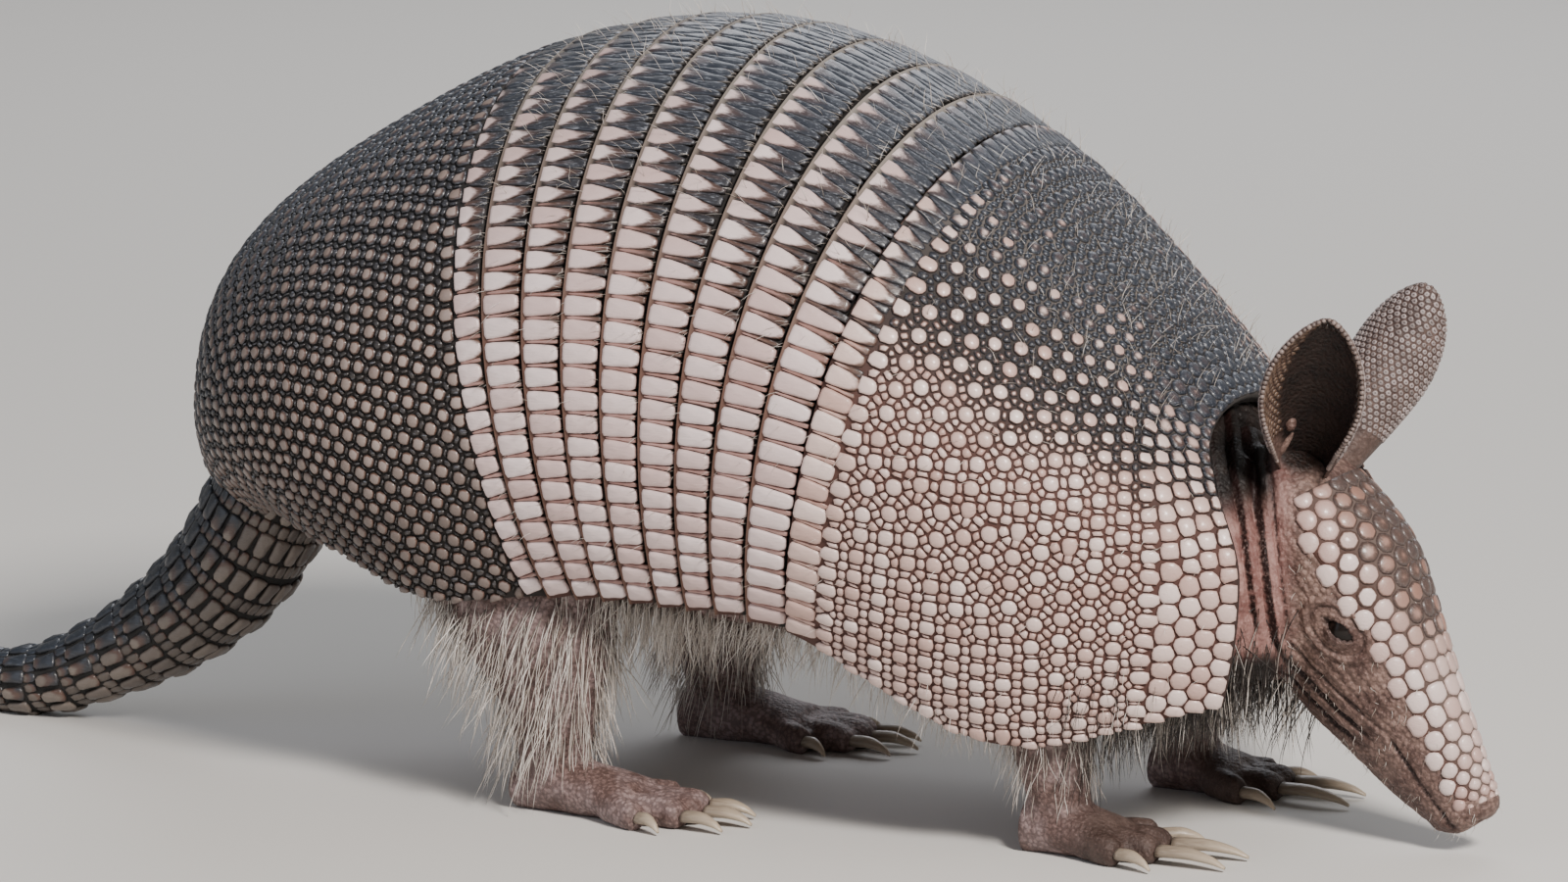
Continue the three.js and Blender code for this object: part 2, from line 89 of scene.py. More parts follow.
def ramp(low, high, value):
    """A smooth ramp from 0 at low to 1 at high, which may lie either way round."""
    share = np.clip((value - low) / (high - low), 0, 1)
    return share * share * (3 - 2 * share)


def lerp(a, b, share):
    return a + (b - a) * share


def full_turn(count):
    """Evenly spaced angles round a full circle."""
    return np.arange(count) / count * 2 * math.pi


def run_along(points):
    """The length run from the start of a line to each of its points."""
    return np.concatenate([[0], np.cumsum(np.linalg.norm(np.diff(points, axis=0), axis=1))])


def along(rows, place):
    """The row of sizes at a place between whole rows, on a Catmull-Rom curve."""
    rows = np.asarray(rows, float)
    place = np.clip(place, 0, len(rows) - 1)
    i = np.minimum(np.floor(place).astype(int), len(rows) - 2)
    f = (place - i)[..., None]
    b, c = rows[i], rows[i + 1]
    a = np.where((i > 0)[..., None], rows[np.maximum(i - 1, 0)], 2 * b - c)
    last = len(rows) - 1
    d = np.where((i + 2 <= last)[..., None], rows[np.minimum(i + 2, last)], 2 * c - b)
    bend = (2 * a - 5 * b + 4 * c - d) * f**2 + (3 * (b - c) + d - a) * f**3
    return 0.5 * (2 * b + (c - a) * f + bend)


def linear(code):
    """An sRGB hex colour as the linear colour that Blender's shaders work in."""
    channels = [int(code[i : i + 2], 16) / 255 for i in (1, 3, 5)]
    return [c / 12.92 if c <= 0.04045 else ((c + 0.055) / 1.055) ** 2.4 for c in channels] + [1]


# %% One way to add a node, in a shader or in Geometry Nodes
MATH, MIX, RANGE = "ShaderNodeMath", "ShaderNodeMix", "ShaderNodeMapRange"
MARK, NOISE, BUMP = "ShaderNodeAttribute", "ShaderNodeTexNoise", "ShaderNodeBump"
PLACE, VECTORS = "ShaderNodeTexCoord", "ShaderNodeVectorMath"
COLOURS = {"data_type": "RGBA", "out": 2}
TIMES, TIMES_PLUS = {"operation": "MULTIPLY"}, {"operation": "MULTIPLY_ADD"}
SMOOTH = {"interpolation_type": "SMOOTHSTEP"}


def node(tree, kind, *values, named=None, out=0, **settings):
    """Adds a node and returns one of its outputs, or the node itself for out=None.

    Each value is a number, a colour code or another node's output.
    """
    made = tree.nodes.new(kind)
    for name, value in settings.items():
        setattr(made, name, value)
    for place, value in [*enumerate(values), *(named or {}).items()]:
        if isinstance(value, bpy.types.NodeSocket):
            tree.links.new(value, made.inputs[place])
        elif isinstance(value, str) and value.startswith("#"):
            made.inputs[place].default_value = linear(value)
        elif value is not None:
            made.inputs[place].default_value = value
    return made if out is None else made.outputs[out]


def new_material(name, **values):
    """A material and its shader, whose own sockets take the values that are the same all over."""
    made = bpy.data.materials.new(name)
    made.use_nodes = True
    shader = made.node_tree.nodes["Principled BSDF"]
    for socket, value in values.items():
        shader.inputs[socket.replace("_", " ")].default_value = value
    return made, made.node_tree, shader


# %% Meshes from arrays
def gathered(items, word, width=1, kind=np.float32):
    """One value, or a row of them, from each item of a mesh."""
    values = np.empty(len(items) * width, kind)
    items.foreach_get(word, values)
    return values.reshape(-1, width) if width > 1 else values


def add_mark(mesh, name, values, kind="FLOAT", word="value", number=np.float32):
    """Keeps a value on each point under a name that a tree or a material can read."""
    layer = mesh.attributes.new(name, kind, "POINT")
    layer.data.foreach_set(word, np.asarray(values).astype(number).ravel())


def triangle_count(mesh):
    return sum(len(face.vertices) - 2 for face in mesh.polygons)


class Sheet:
    """Points, faces and named marks of one piece, gathered before its mesh is made."""

    def __init__(self):
        self.points, self.faces, self.marks, self.count = [], [], {}, 0

    def add(self, points, faces, **marks):
        """Adds points (n, 3) in mm, faces as arrays of corner numbers, and marks per point."""
        points = np.asarray(points, float).reshape(-1, 3)
        for group in faces:
            self.faces.extend((np.asarray(group) + self.count).tolist())
        for name in set(self.marks) | set(marks):
            before = self.marks.get(name, np.zeros(self.count))
            value = np.broadcast_to(marks.get(name, 0.0), len(points))
            self.marks[name] = np.concatenate([before, value])
        self.points.append(points)
        self.count += len(points)

    def mesh(self, name):
        mesh = bpy.data.meshes.new(name)
        mesh.from_pydata(to_frame(np.concatenate(self.points)).tolist(), [], self.faces)
        for mark, values in self.marks.items():
            add_mark(mesh, mark, values)
        mesh.shade_smooth()
        return mesh


# %% A piece's map, and its place in the scene
MAP_MARKS = ("map_s", "map_angle", "map_layer", "own_x", "own_y", "per_x", "per_y")
MAP_MARGIN = 0.01
HALF_MAP = 0.5


def marked(mesh, name):
    """The values of one mark, or zeros if the mesh has no such mark."""
    if name in mesh.attributes:
        return gathered(mesh.attributes[name].data, "value")
    return np.zeros(len(mesh.vertices), np.float32)


def over_map(values):
    """Values spread from one side of the map to the other, but for its margins."""
    return MAP_MARGIN + (1 - 2 * MAP_MARGIN) * (values - values.min()) / np.ptp(values)


def unwrapped(mesh):
    """Gives a coat piece its map, laid out by where on its plate or on the skin each point lies."""
    s, angle, layer, own_x, own_y, per_x, per_y = (marked(mesh, name) for name in MAP_MARKS)
    u, v = s + own_x * per_x, angle + own_y * per_y
    if layer.max() >= 0:
        # Scutes and the two faces of their plate lie side by side.
        strips = round(float(layer.max())) + 1
        u, v = (layer + over_map(u)) / strips, over_map(v)
    corner = gathered(mesh.loops, "vertex_index", kind=np.int32)
    first, total = (gathered(mesh.polygons, word, kind=np.int32) for word in ("loop_start", "loop_total"))
    uv = np.stack([u, v], -1)[corner]
    # A face that closes a ring runs on to the map's edge, and a hidden floor shrinks to a point.
    wide = np.maximum.reduceat(uv[:, 1], first) - np.minimum.reduceat(uv[:, 1], first) > HALF_MAP
    behind = np.repeat(wide, total) & (uv[:, 1] < HALF_MAP)
    uv[:, 1] = np.where(behind, 1 - MAP_MARGIN, uv[:, 1])
    uv = np.where(np.repeat(total > 4, total)[:, None], np.repeat(uv[first], total, axis=0), uv)
    uv_map = mesh.uv_layers.new(name="OFBake")
    uv_map.data.foreach_set("uv", uv.astype(np.float32).ravel())
    for name in MAP_MARKS:
        if name in mesh.attributes:
            mesh.attributes.remove(mesh.attributes[name])


def show(mesh, name, material, slot, *nodes):
    """Puts a finished mesh in the scene, riding on the body, in place of its CAD nodes."""
    # Nothing may reach below the floor.
    points = gathered(mesh.vertices, "co", 3)
    points[:, 2] = np.maximum(points[:, 2], 0)
    mesh.vertices.foreach_set("co", points.ravel())
    mesh.update()
    if "map_s" in mesh.attributes:
        unwrapped(mesh)
    piece = bpy.data.objects.new(name, mesh)
    bpy.context.collection.objects.link(piece)
    mesh.materials.clear()
    mesh.materials.append(material)
    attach(piece, "root")
    if nodes:
        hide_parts(*nodes)
    print(f"{name}: {triangle_count(mesh)} triangles")


def grid_faces(rows, columns, closed=True):
    """Quads of a grid whose columns run round the piece."""
    r, k = np.meshgrid(np.arange(rows - 1), np.arange(columns - (not closed)), indexing="ij")
    here, beside = r * columns + k, r * columns + (k + 1) % columns
    return np.stack([here, here + columns, beside + columns, beside], -1).reshape(-1, 4)


def lofted(rings):
    """Points and faces through rings of points (rows, around, 3), the ends drawn to a point."""
    rings = np.asarray(rings)
    rows, around = rings.shape[:2]
    k = np.arange(around)
    beside, last = (k + 1) % around, (rows - 1) * around
    start = np.stack([k, beside, np.full(around, rows * around)], -1)
    end = np.stack([last + beside, last + k, np.full(around, rows * around + 1)], -1)
    points = np.concatenate([rings.reshape(-1, 3), rings[:1].mean(1), rings[-1:].mean(1)])
    return points, [grid_faces(rows, around), start, end]


# %% [markdown]
# ## The surfaces that the plates follow
# A carapace is a row of arches. Each arch has its height above and below its widest line, and
# leans a little. A point on it is given by its row `s`, from rump to neck, and its angle from
# the middle of the back, positive to the animal's left.

# %% The carapace
def paired(s, angle):
    """Both as numbers, stretched to one shape."""
    return np.broadcast_arrays(np.asarray(s, float), np.asarray(angle, float))


def steady(value):
    """A size that is the same all along a surface."""
    return lambda s: np.full_like(np.asarray(s, float), value)


CARAPACE = np.array([
    # x, z, lean, half width, rise, drop, edge angle, front lead, belly
    (-150, 69, -65, 23, 22.5, 30, 104, 0, 20),
    (-140, 80, -50, 45, 36, 45, 107, 0, 27),
    (-119, 88, -31, 65, 63, 60, 114, 0, 38),
    (-88, 104, -17, 81, 73, 92, 122, 0, 58),
    (-44, 119, -8, 88, 81, 96, 128, 0, 74),
    (0, 120, 3, 89, 84.5, 98, 127, 0, 78),
    (47, 112, 14, 88, 71, 96, 126, 0, 75),
    (96, 90, 8, 76, 57, 102, 126, 3, 62),
    (132, 76, 0, 50, 39, 80, 115, 19, 44),
], float)
HIP_END = 4.0
SHOULDER_START = 6.0
CARAPACE_END = 8.0
PLATE_GAP = 0.01
SHELL_THICKNESS = 3.6
BAND_COUNT = 8
BAND_SPAN = (SHOULDER_START - HIP_END) / BAND_COUNT


def carapace(s, angle):
    s, angle = paired(s, angle)
    x, z, lean, half, rise, drop, _, lead, _ = np.moveaxis(along(CARAPACE, s), -1, 0)
    height = np.where(np.cos(angle) > 0, rise, drop) * np.cos(angle)
    lean = np.radians(lean)
    forward = x + np.sin(lean) * height + lead * np.sin(angle) ** 4
    return np.stack([forward, half * np.sin(angle), z + np.cos(lean) * height], -1)


def shell_edge(s):
    """The angle, in radians, at which the shell ends on each side."""
    return np.radians(along(CARAPACE, np.asarray(s, float))[..., 6])


def slopes(surface, s, angle):
    """A surface's point, its change with s and with the angle, and its outward normal."""
    step = 1e-3
    by_s = (surface(s + step, angle) - surface(s - step, angle)) / (2 * step)
    by_angle = (surface(s, angle + step) - surface(s, angle - step)) / (2 * step)
    return surface(s, angle), by_s, by_angle, unit(np.cross(by_s, by_angle))


def lifted(surface, s, angle, height):
    point, _, _, normal = slopes(surface, s, angle)
    return point + normal * np.asarray(height)[..., None]


def metric(surface, s, angle):
    """Turns steps of (s, angle) to flat mm: x = a*ds + b*dangle, y = c*dangle."""
    point, by_s, by_angle, _ = slopes(surface, s, angle)
    a = np.linalg.norm(by_s, axis=-1)
    across = by_s / a[..., None]
    b = (across * by_angle).sum(-1)
    upward = unit(by_angle - across * b[..., None])
    c = (upward * by_angle).sum(-1)
    return point, a, b, c, across, upward


# %% [markdown]
# ## Shell markings
# All shell plates share one marking: pale and warm along the flanks, slate along the back. Each
# point keeps how far it is towards the back, how far it is from its own scute's edge, and a
# number of its own scute, so that one material can colour every plate.

# %% Marks that the shell material reads
PALE_BELOW = math.radians(83)
DARK_ABOVE = math.radians(27)


def backness(angle):
    """0 on the pale flank, 1 on the dark back, and beyond both ends in step."""
    return np.clip((PALE_BELOW - np.abs(angle)) / (PALE_BELOW - DARK_ABOVE), -1, 1.5)


def flankness(angle):
    return 1 - np.clip(backness(angle), 0, 1)


# %% [markdown]
# ## Scutes that fill a shield
# The shields are mosaics of horny scutes, large ones each ringed by small ones. Instances of
# one shape would leave uneven gaps, so each scute is cut to its neighbours instead: every
# pair shares a wall, placed by their sizes, and the outline is the soft minimum of the walls
# round it, which rounds its corners as growth does.

# %% Seeds in staggered rows
def measured(surface, s, angle, count=400):
    """A line on a surface: its values of s and angle, and the length run at each."""
    s, angle = np.broadcast_arrays(np.linspace(*s, count), np.linspace(*angle, count))
    return s, angle, run_along(surface(s, angle))


def evenly(count, length):
    """The middles of equal parts of a length."""
    return (np.arange(count) + 0.5) / count * length


def row_places(surface, low, high, step, angle):
    """Values of s for rows a set length apart, from high to low, measured along one line."""
    s, _, run = measured(surface, (high, low), (angle, angle))
    return np.interp(evenly(round(run[-1] / step), run[-1]), run, s)


CROWDED = 0.62
EDGE_ROOM = 0.45


def mended(places, length, pitch):
    """A row with a seed added wherever a gap has grown, and one dropped where two crowd."""
    kept = [-pitch / 2]
    for place in [*places, length + pitch / 2]:
        gap = place - kept[-1]
        if gap < CROWDED * pitch and len(kept) > 1:
            kept[-1] += gap / 2
            continue
        extra = max(round(gap / pitch) - 1, 0)
        start = kept[-1]
        kept += [start + gap * (i + 1) / (extra + 1) for i in range(extra)]
        kept.append(place)
    return np.array(kept[1:-1])


def sown(surface, rows, pitch, edge):
    """Staggered rows: each seed of a row stands between two of the row before."""
    seeds, last = [], None
    for s in rows:
        limit = float(edge(s))
        _, line, run = measured(surface, (s, s), (-limit, limit))
        own = float(pitch(s))
        if last is None:
            places = evenly(round(run[-1] / own), run[-1])
        else:
            places = np.interp((last[1:] + last[:-1]) / 2, line, run)
            inside = (places > EDGE_ROOM * own) & (places < run[-1] - EDGE_ROOM * own)
            places = mended(places[inside], run[-1], own)
        last = np.interp(places, run, line)
        seeds += [(s, angle) for angle in last]
    return np.array(seeds)


# %% Neighbours, and seeds that push each other apart
NEAREST = 8
PUSH_SHARE = 0.4
LEAST_DISTANCE = 0.05


def neighbours(points, count):
    """The numbers of each point's nearest others."""
    tree = KDTree(len(points))
    for i, point in enumerate(points):
        tree.insert(point, i)
    tree.balance()
    return np.array([[k for _, k, _ in tree.find_n(p, count + 1)][1:] for p in points])


def settled(surface, seeds, radii, low, high, edge, fixed=0, rounds=8):
    """Moves crowded seeds apart; the first ones, if fixed, stay where they are."""
    s, angle = seeds.T.copy()
    for _ in range(rounds):
        point, a, b, c, across, upward = metric(surface, s, angle)
        near = neighbours(point, NEAREST)
        away = point[:, None] - point[near]
        distance = np.maximum(np.linalg.norm(away, axis=-1, keepdims=True), LEAST_DISTANCE)
        own = (radii[:, None] + radii[near])[..., None]
        push = (away / distance * np.clip(own - distance, 0, None)).sum(1) * PUSH_SHARE
        push[:fixed] = 0
        x, y = (push * across).sum(-1), (push * upward).sum(-1)
        s = np.clip(s + (x - b / c * y) / a, low, high)
        angle = np.clip(angle + y / c, -edge(s), edge(s))
    return np.stack([s, angle], -1)


def jittered(surface, seeds, amount):
    """Seeds moved by chance, by about amount mm, because no real mosaic is exact."""
    _, a, b, c, _, _ = metric(surface, *seeds.T)
    x, y = RANDOM.normal(0, amount, (2, len(seeds)))
    return seeds + np.stack([(x - b / c * y) / a, y / c], -1)


def between(surface, seeds, reach, room):
    """Small seeds: halfway along each pair of neighbours, and amid each three of them."""
    points = surface(*seeds.T)
    near = neighbours(points, NEAREST)
    linked = [{int(j) for j in others if np.linalg.norm(points[i] - points[j]) < reach}
              for i, others in enumerate(near)]
    pairs = {(min(i, j), max(i, j)) for i, others in enumerate(linked) for j in others}
    threes = {tuple(sorted((i, j, k))) for i, j in pairs for k in linked[i] & linked[j]}
    found = [seeds[list(group)].mean(0) for group in sorted(pairs) + sorted(threes)]
    kept, places = [], np.empty((0, 3))
    for seed, place in zip(found, surface(*np.array(found).T)):
        if len(places) and np.linalg.norm(places - place, axis=1).min() < room:
            continue
        kept.append(seed)
        places = np.concatenate([places, place[None]])
    return np.array(kept)


# %% Scutes cut to their neighbours
WALLS_ROUND = 11
LEAST_WALL = 0.35
FURTHEST_REACH = 1.7
LEAST_TOP = 0.25


def outlines(surface, seeds, sizes, low, high, edge, gap, around, sharpness=11, side_shares=None):
    """The radius of each seed's cell in evenly spaced directions, in mm.

    Side shares, if given, round off the scutes along the side edges: the least and most of its
    size that one may reach towards the edge, and its widest reach over its three nearest walls.
    """
    s, angle = seeds.T
    point, a, b, c, _, _ = metric(surface, s, angle)
    near = neighbours(point, WALLS_ROUND)
    ds, da = s[near] - s[:, None], angle[near] - angle[:, None]
    x, y = a[:, None] * ds + b[:, None] * da, c[:, None] * da
    distance = np.maximum(np.hypot(x, y), 0.1)
    wall = (distance**2 + sizes[:, None] ** 2 - sizes[near] ** 2) / (2 * distance)
    toward = np.arctan2(y, x)
    # The four sides of the field are walls too. A step x, y is ds = (x - b/c*y) / a.
    slant = np.hypot(1, b / c) / a
    end_wall = np.stack([(high - s) / slant, (s - low) / slant], -1)
    end_toward = np.stack([np.arctan2(-b / c, 1), np.arctan2(b / c, -1)], -1)
    side_wall = np.stack([(edge(s) - angle) * c, (edge(s) + angle) * c], -1)
    side_toward = np.broadcast_to([math.pi / 2, -math.pi / 2], side_wall.shape)
    if side_shares:
        least, most, roundness = side_shares
        beside = side_wall < 2 * sizes[:, None]
        held = np.clip(side_wall, least * sizes[:, None], most * sizes[:, None])
        side_wall = np.where(beside, held, side_wall)
    walls = np.clip(np.concatenate([wall, end_wall, side_wall], -1) - gap / 2, LEAST_WALL, None)
    towards = np.concatenate([toward, end_toward, side_toward], -1)
    facing = np.clip(np.cos(full_turn(around)[None, :, None] - towards[:, None]), 0, None)
    radius = ((facing / walls[:, None]) ** sharpness).sum(-1) ** (-1 / sharpness)
    if side_shares:
        rounded = roundness * np.sort(walls, axis=1)[:, :3].mean(1, keepdims=True)
        radius = np.where(beside.any(-1, keepdims=True), np.minimum(radius, rounded), radius)
    return np.minimum(radius, sizes[:, None] * FURTHEST_REACH), (a, b, c)


def dome_faces(count, rings, around):
    """Walls, crown fan and floor of many domes whose points are numbered ring by ring."""
    start = np.arange(count)[:, None] * (rings * around + 1)
    k = np.arange(around)
    beside = (k + 1) % around
    walls = []
    for ring in range(rings - 1):
        low, high = start + ring * around, start + (ring + 1) * around
        walls.append(np.stack([low + k, low + beside, high + beside, high + k], -1))
    top = start + (rings - 1) * around
    peak = np.broadcast_to(start + rings * around, (count, around))
    crown = np.stack([top + k, top + beside, peak], -1)
    return [np.concatenate(walls).reshape(-1, 4), crown.reshape(-1, 3), start + k[::-1]]


def add_scutes(sheet, surface, seeds, radius, scale, rings, crown, **marks):
    """Adds a dome for each seed; rings are (inset mm, height mm, rim, core) from the foot up."""
    a, b, c = scale
    count, around = radius.shape
    turn = full_turn(around)
    inset, height, rim, core = (np.array(column)[:, None] for column in zip(*rings))
    reach = np.maximum(radius[:, None] - inset, radius[:, None] * LEAST_TOP)
    x = np.concatenate([(reach * np.cos(turn)).reshape(count, -1), np.zeros((count, 1))], 1)
    y = np.concatenate([(reach * np.sin(turn)).reshape(count, -1), np.zeros((count, 1))], 1)

    def each(column, top):
        values = np.append(np.broadcast_to(column, (len(rings), around)).ravel(), top)
        return np.broadcast_to(values, x.shape)

    s = seeds[:, :1] + (x - (b / c)[:, None] * y) / a[:, None]
    angle = seeds[:, 1:] + y / c[:, None]
    points = lifted(surface, s, angle, each(height, crown))
    own = {name: np.broadcast_to(np.reshape(v, (-1, 1)), s.shape).ravel() for name, v in marks.items()}
    sheet.add(points, dome_faces(count, len(rings), around), rim=each(rim, 1).ravel(),
              core=each(core, 1).ravel(), flank=flankness(angle).ravel(),
              map_s=s.ravel(), map_angle=angle.ravel(), **own)


# %% The bony plate under the scutes
def add_plate(sheet, surface, shares, outer, inner, low, high, edge, columns, **marks):
    """A closed curved plate; outer and inner are heights at each share from low to high."""
    half = len(shares)
    outer, inner = np.broadcast_to(outer, half), np.broadcast_to(inner, half)
    loop = 2 * half
    s = np.broadcast_to(lerp(low, high, np.concatenate([shares, shares[::-1]])), (columns, loop))
    height = np.broadcast_to(np.concatenate([outer, inner[::-1]]), (columns, loop))
    angle = np.linspace(-1, 1, columns)[:, None] * edge(s)
    j = np.arange(half - 1)
    near_cap = np.stack([j, loop - 1 - j, loop - 2 - j, j + 1], -1)
    far_cap = near_cap[:, ::-1] + (columns - 1) * loop
    layer = np.tile(np.concatenate([np.ones(half), np.full(half, 2.0)]), columns)
    sheet.add(lifted(surface, s, angle, height), [grid_faces(columns, loop)[:, ::-1], near_cap, far_cap],
              flank=flankness(angle).ravel(), map_s=s.ravel(), map_angle=angle.ravel(),
              map_layer=layer, **marks)


# %% [markdown]
# ## What the shell is made of
# Each scute is a thin sheet of keratin over bone, like a fingernail: satin, scored along the
# body by burrowing, and darkened where slate pigment lies in it. Its pale streaks are partly
# those scores and partly painted sheen. Earth and skin show in the grooves, rough and brown. A
# thin coat on the shader gives the worn polish on the domes.

# %% The shell material
PALE_HORN = ("#c0a096", "#e3d0ca")
SMALL_HORN = ("#a37c70", "#c6a49a")
SLATE_HORN = ("#222833", "#2c2624")
GROOVE = ("#4d3029", "#2a2321", "#5b5653")
MARGIN = ("#8d857c", "#7a5a4c")
PAINTED_DEEP_SHADE = "#120c0a"
BROWN_HORN = "#5f4336"
BLOTCH_SIZE = 9
STREAK_SIZE = 0.5
SCRATCH_DEPTH = 0.3
SHELL_MARKS = ("core", "back", "flank", "tone", "rim", "tan", "lip")


def shell_material(name, pale=PALE_HORN, small=SMALL_HORN, slate=SLATE_HORN, groove=GROOVE,
                   scratch_and_sheen_colour="#858a96", streak=0.15, blotchy=0.3, uneven=0.25):
    """Pale and small go by the scute's tone, slate from back to flank; groove is low on the flank,
    between, and on the back."""
    made, tree, shader = new_material(name, IOR=1.54, Coat_Roughness=0.2)
    core, back, flank, tone, rim, tan, lip = (
        node(tree, MARK, attribute_name=word, out="Fac") for word in SHELL_MARKS)
    place = node(tree, PLACE, out="Object")
    blotch = node(tree, NOISE, place, named={"Scale": 1 / (BLOTCH_SIZE * MM), "Detail": 3})
    lengthwise = node(tree, VECTORS, place, (0.12, 1, 1), **TIMES)
    streaks = node(tree, NOISE, lengthwise,
                   named={"Scale": 1 / (STREAK_SIZE * MM), "Detail": 3, "Roughness": 0.7})
    # The pale part of each scute shrinks towards the back; the height is what core must pass.
    shift = node(tree, MATH, tone, uneven, -uneven / 2, **TIMES_PLUS)
    shift = node(tree, MATH, blotch, blotchy, shift, **TIMES_PLUS)
    shift = node(tree, MATH, shift, -blotchy / 2, operation="ADD")
    height = node(tree, MATH, back, shift, operation="ADD")
    height = node(tree, MATH, height, 1.6, -0.3, **TIMES_PLUS)
    ragged = node(tree, MATH, streaks, streak, -streak / 2, **TIMES_PLUS)
    lead = node(tree, MATH, node(tree, MATH, core, ragged, operation="ADD"), height, operation="SUBTRACT")
    paleness = node(tree, RANGE, lead, -0.12, 0.12, **SMOOTH)
    # The pale horn of large scutes, the browner horn of small ones, the slate and the margin.
    light, brown, dark, margin = (
        node(tree, MIX, share, named={6: first, 7: second}, **COLOURS)
        for share, (first, second) in ((tone, pale), (tone, small), (flank, slate), (flank, MARGIN)))
    horn = node(tree, MIX, tan, named={6: light, 7: brown}, **COLOURS)
    stained = node(tree, MATH, blotch, 0.25, **TIMES)
    horn = node(tree, MIX, stained, named={6: horn, 7: small[0]}, **COLOURS)
    # Pale streaks along the body: partly scratches, partly painted sheen.
    scratches_and_sheen = node(tree, RANGE, streaks, 0.52, 0.72, **SMOOTH)
    scratches_and_sheen = node(tree, MATH, scratches_and_sheen, 0.6, **TIMES)
    # Brown horn lies between the pale part and the slate, widest low on the flank.
    halo = node(tree, RANGE, lead, -0.5, -0.1, **SMOOTH)
    halo = node(tree, MATH, halo, node(tree, MATH, flank, 0.6, 0.3, **TIMES_PLUS), **TIMES)
    scute = dark
    for share, over in ((scratches_and_sheen, scratch_and_sheen_colour), (halo, BROWN_HORN), (paleness, horn)):
        scute = node(tree, MIX, share, named={6: scute, 7: over}, **COLOURS)
    # Earth in the grooves goes from one colour to the next up the flank; the scute lies over it.
    low_down = node(tree, RANGE, flank, 0.45, 1.0, **SMOOTH)
    high_up = node(tree, RANGE, flank, 0.45, -0.05, **SMOOTH)
    edge = node(tree, RANGE, rim, 0.1, 0.75, **SMOOTH)
    # Lip above 0 is a rim's pale margin; below 0 it is painted shade, near black, deep in gaps.
    bare = node(tree, MATH, lip, 0, operation="MAXIMUM")
    painted_deep_shade = node(tree, MATH, lip, -1, **TIMES, use_clamp=True)
    colour = groove[1]
    for share, over in ((low_down, groove[0]), (high_up, groove[2]), (edge, scute), (bare, margin),
                        (painted_deep_shade, PAINTED_DEEP_SHADE)):
        colour = node(tree, MIX, share, named={6: colour, 7: over}, **COLOURS)
    tree.links.new(colour, shader.inputs["Base Color"])
    tree.links.new(node(tree, MATH, edge, 0.4, **TIMES), shader.inputs["Coat Weight"])
    rough = node(tree, MATH, edge, -0.42, 0.74, **TIMES_PLUS)
    rough = node(tree, MATH, streaks, 0.16, rough, **TIMES_PLUS)
    tree.links.new(rough, shader.inputs["Roughness"])
    bump = node(tree, BUMP, named={"Height": streaks, "Distance": SCRATCH_DEPTH * MM, "Strength": 0.6})
    tree.links.new(bump, shader.inputs["Normal"])
    return made


BAND_MATERIAL = shell_material(
    "keratin_band_plate", pale=("#caafab", "#e8d8d7"), small=("#845d53", "#ab8179"), scratch_and_sheen_colour="#a0a5af",
    streak=0.3, blotchy=0.2, uneven=0.2)
SHIELD_MATERIAL = shell_material("keratin_shield_scute")
# The hip's copy is darker all over: partly its own dimmer colour, partly painted shade.
DIM_AND_SHADED_HIP_MATERIAL = shell_material(
    "keratin_hip_scute_dim_and_painted_shade", pale=("#8f7d75", "#b8a69e"), small=("#453933", "#5e5049"),
    groove=("#1f1916", "#1c1918", "#3a3735"), uneven=0.2)

# %% [markdown]
# ## The two shields
# Seeds are sown in rows that run round the body, as the real columns do, each row staggered
# against the last. Small scutes fill the room between the large ones.

# %% Shield fields
GROOVE_DEPTH = 0.28
LARGE_RINGS = ((0.0, -0.5, 0.0, 0.0), (0.12, 0.3, 0.75, 0.25), (0.8, 0.68, 1.0, 0.75))
SMALL_RINGS = ((0.0, -0.5, 0.0, 0.0), (0.2, 0.26, 0.85, 0.4))
# How far the middle of a large or a small scute stands above its top ring.
LARGE_CROWN, SMALL_CROWN = 0.12, 0.16
PLATE_ROWS = 34
SHIELD_COLUMNS = 90


def shield_seeds(rows, pitch, field, disorder):
    """Seeds sown in rows over the carapace, pushed apart and then moved a little by chance."""
    seeds = sown(carapace, rows, pitch, shell_edge)
    seeds = settled(carapace, seeds, pitch(seeds[:, 0]) * 0.5, *field, shell_edge)
    return jittered(carapace, seeds, disorder)


def add_field(sheet, small_sheet, low, high, seeds, small, sizes, arounds, paint, gap):
    """A field of large scutes, and on a sheet of their own the small ones between them."""
    both = np.concatenate([seeds, small])
    radii = np.repeat(sizes, (len(seeds), len(small)))
    both = settled(carapace, both, radii * 0.97, low, high, shell_edge, fixed=len(seeds), rounds=10)
    first, rest = slice(0, len(seeds)), slice(len(seeds), None)
    for target, chosen, rings, crown, around, is_large in (
            (sheet, first, LARGE_RINGS, LARGE_CROWN, arounds[0], True),
            (small_sheet, rest, SMALL_RINGS, SMALL_CROWN, arounds[1], False)):
        radius, scale = outlines(carapace, both, radii, low, high, shell_edge, gap, around)
        own = both[chosen]
        add_scutes(target, carapace, own, radius[chosen], [m[chosen] for m in scale], rings,
                   rings[-1][1] + crown, tone=RANDOM.random(len(own)), **paint(own, is_large))
    print(f"{len(seeds)} large and {len(small)} small scutes")


# %% The shoulder shield
SHOULDER_FIELD = (SHOULDER_START + 0.17, CARAPACE_END - 0.005)
COLLAR_START = 7.66
COLLAR_PITCH = 5.0
SHOULDER_PITCH = 5.35
# Large scutes keep their pale middle as the back nears; small ones lose it first.
LARGE_BACK = (0.08, 0.64)
SMALL_BACK = 1.55
SMALL_TAN = 0.4


def shoulder_pitch(s):
    return np.where(np.asarray(s) > COLLAR_START, COLLAR_PITCH, SHOULDER_PITCH)


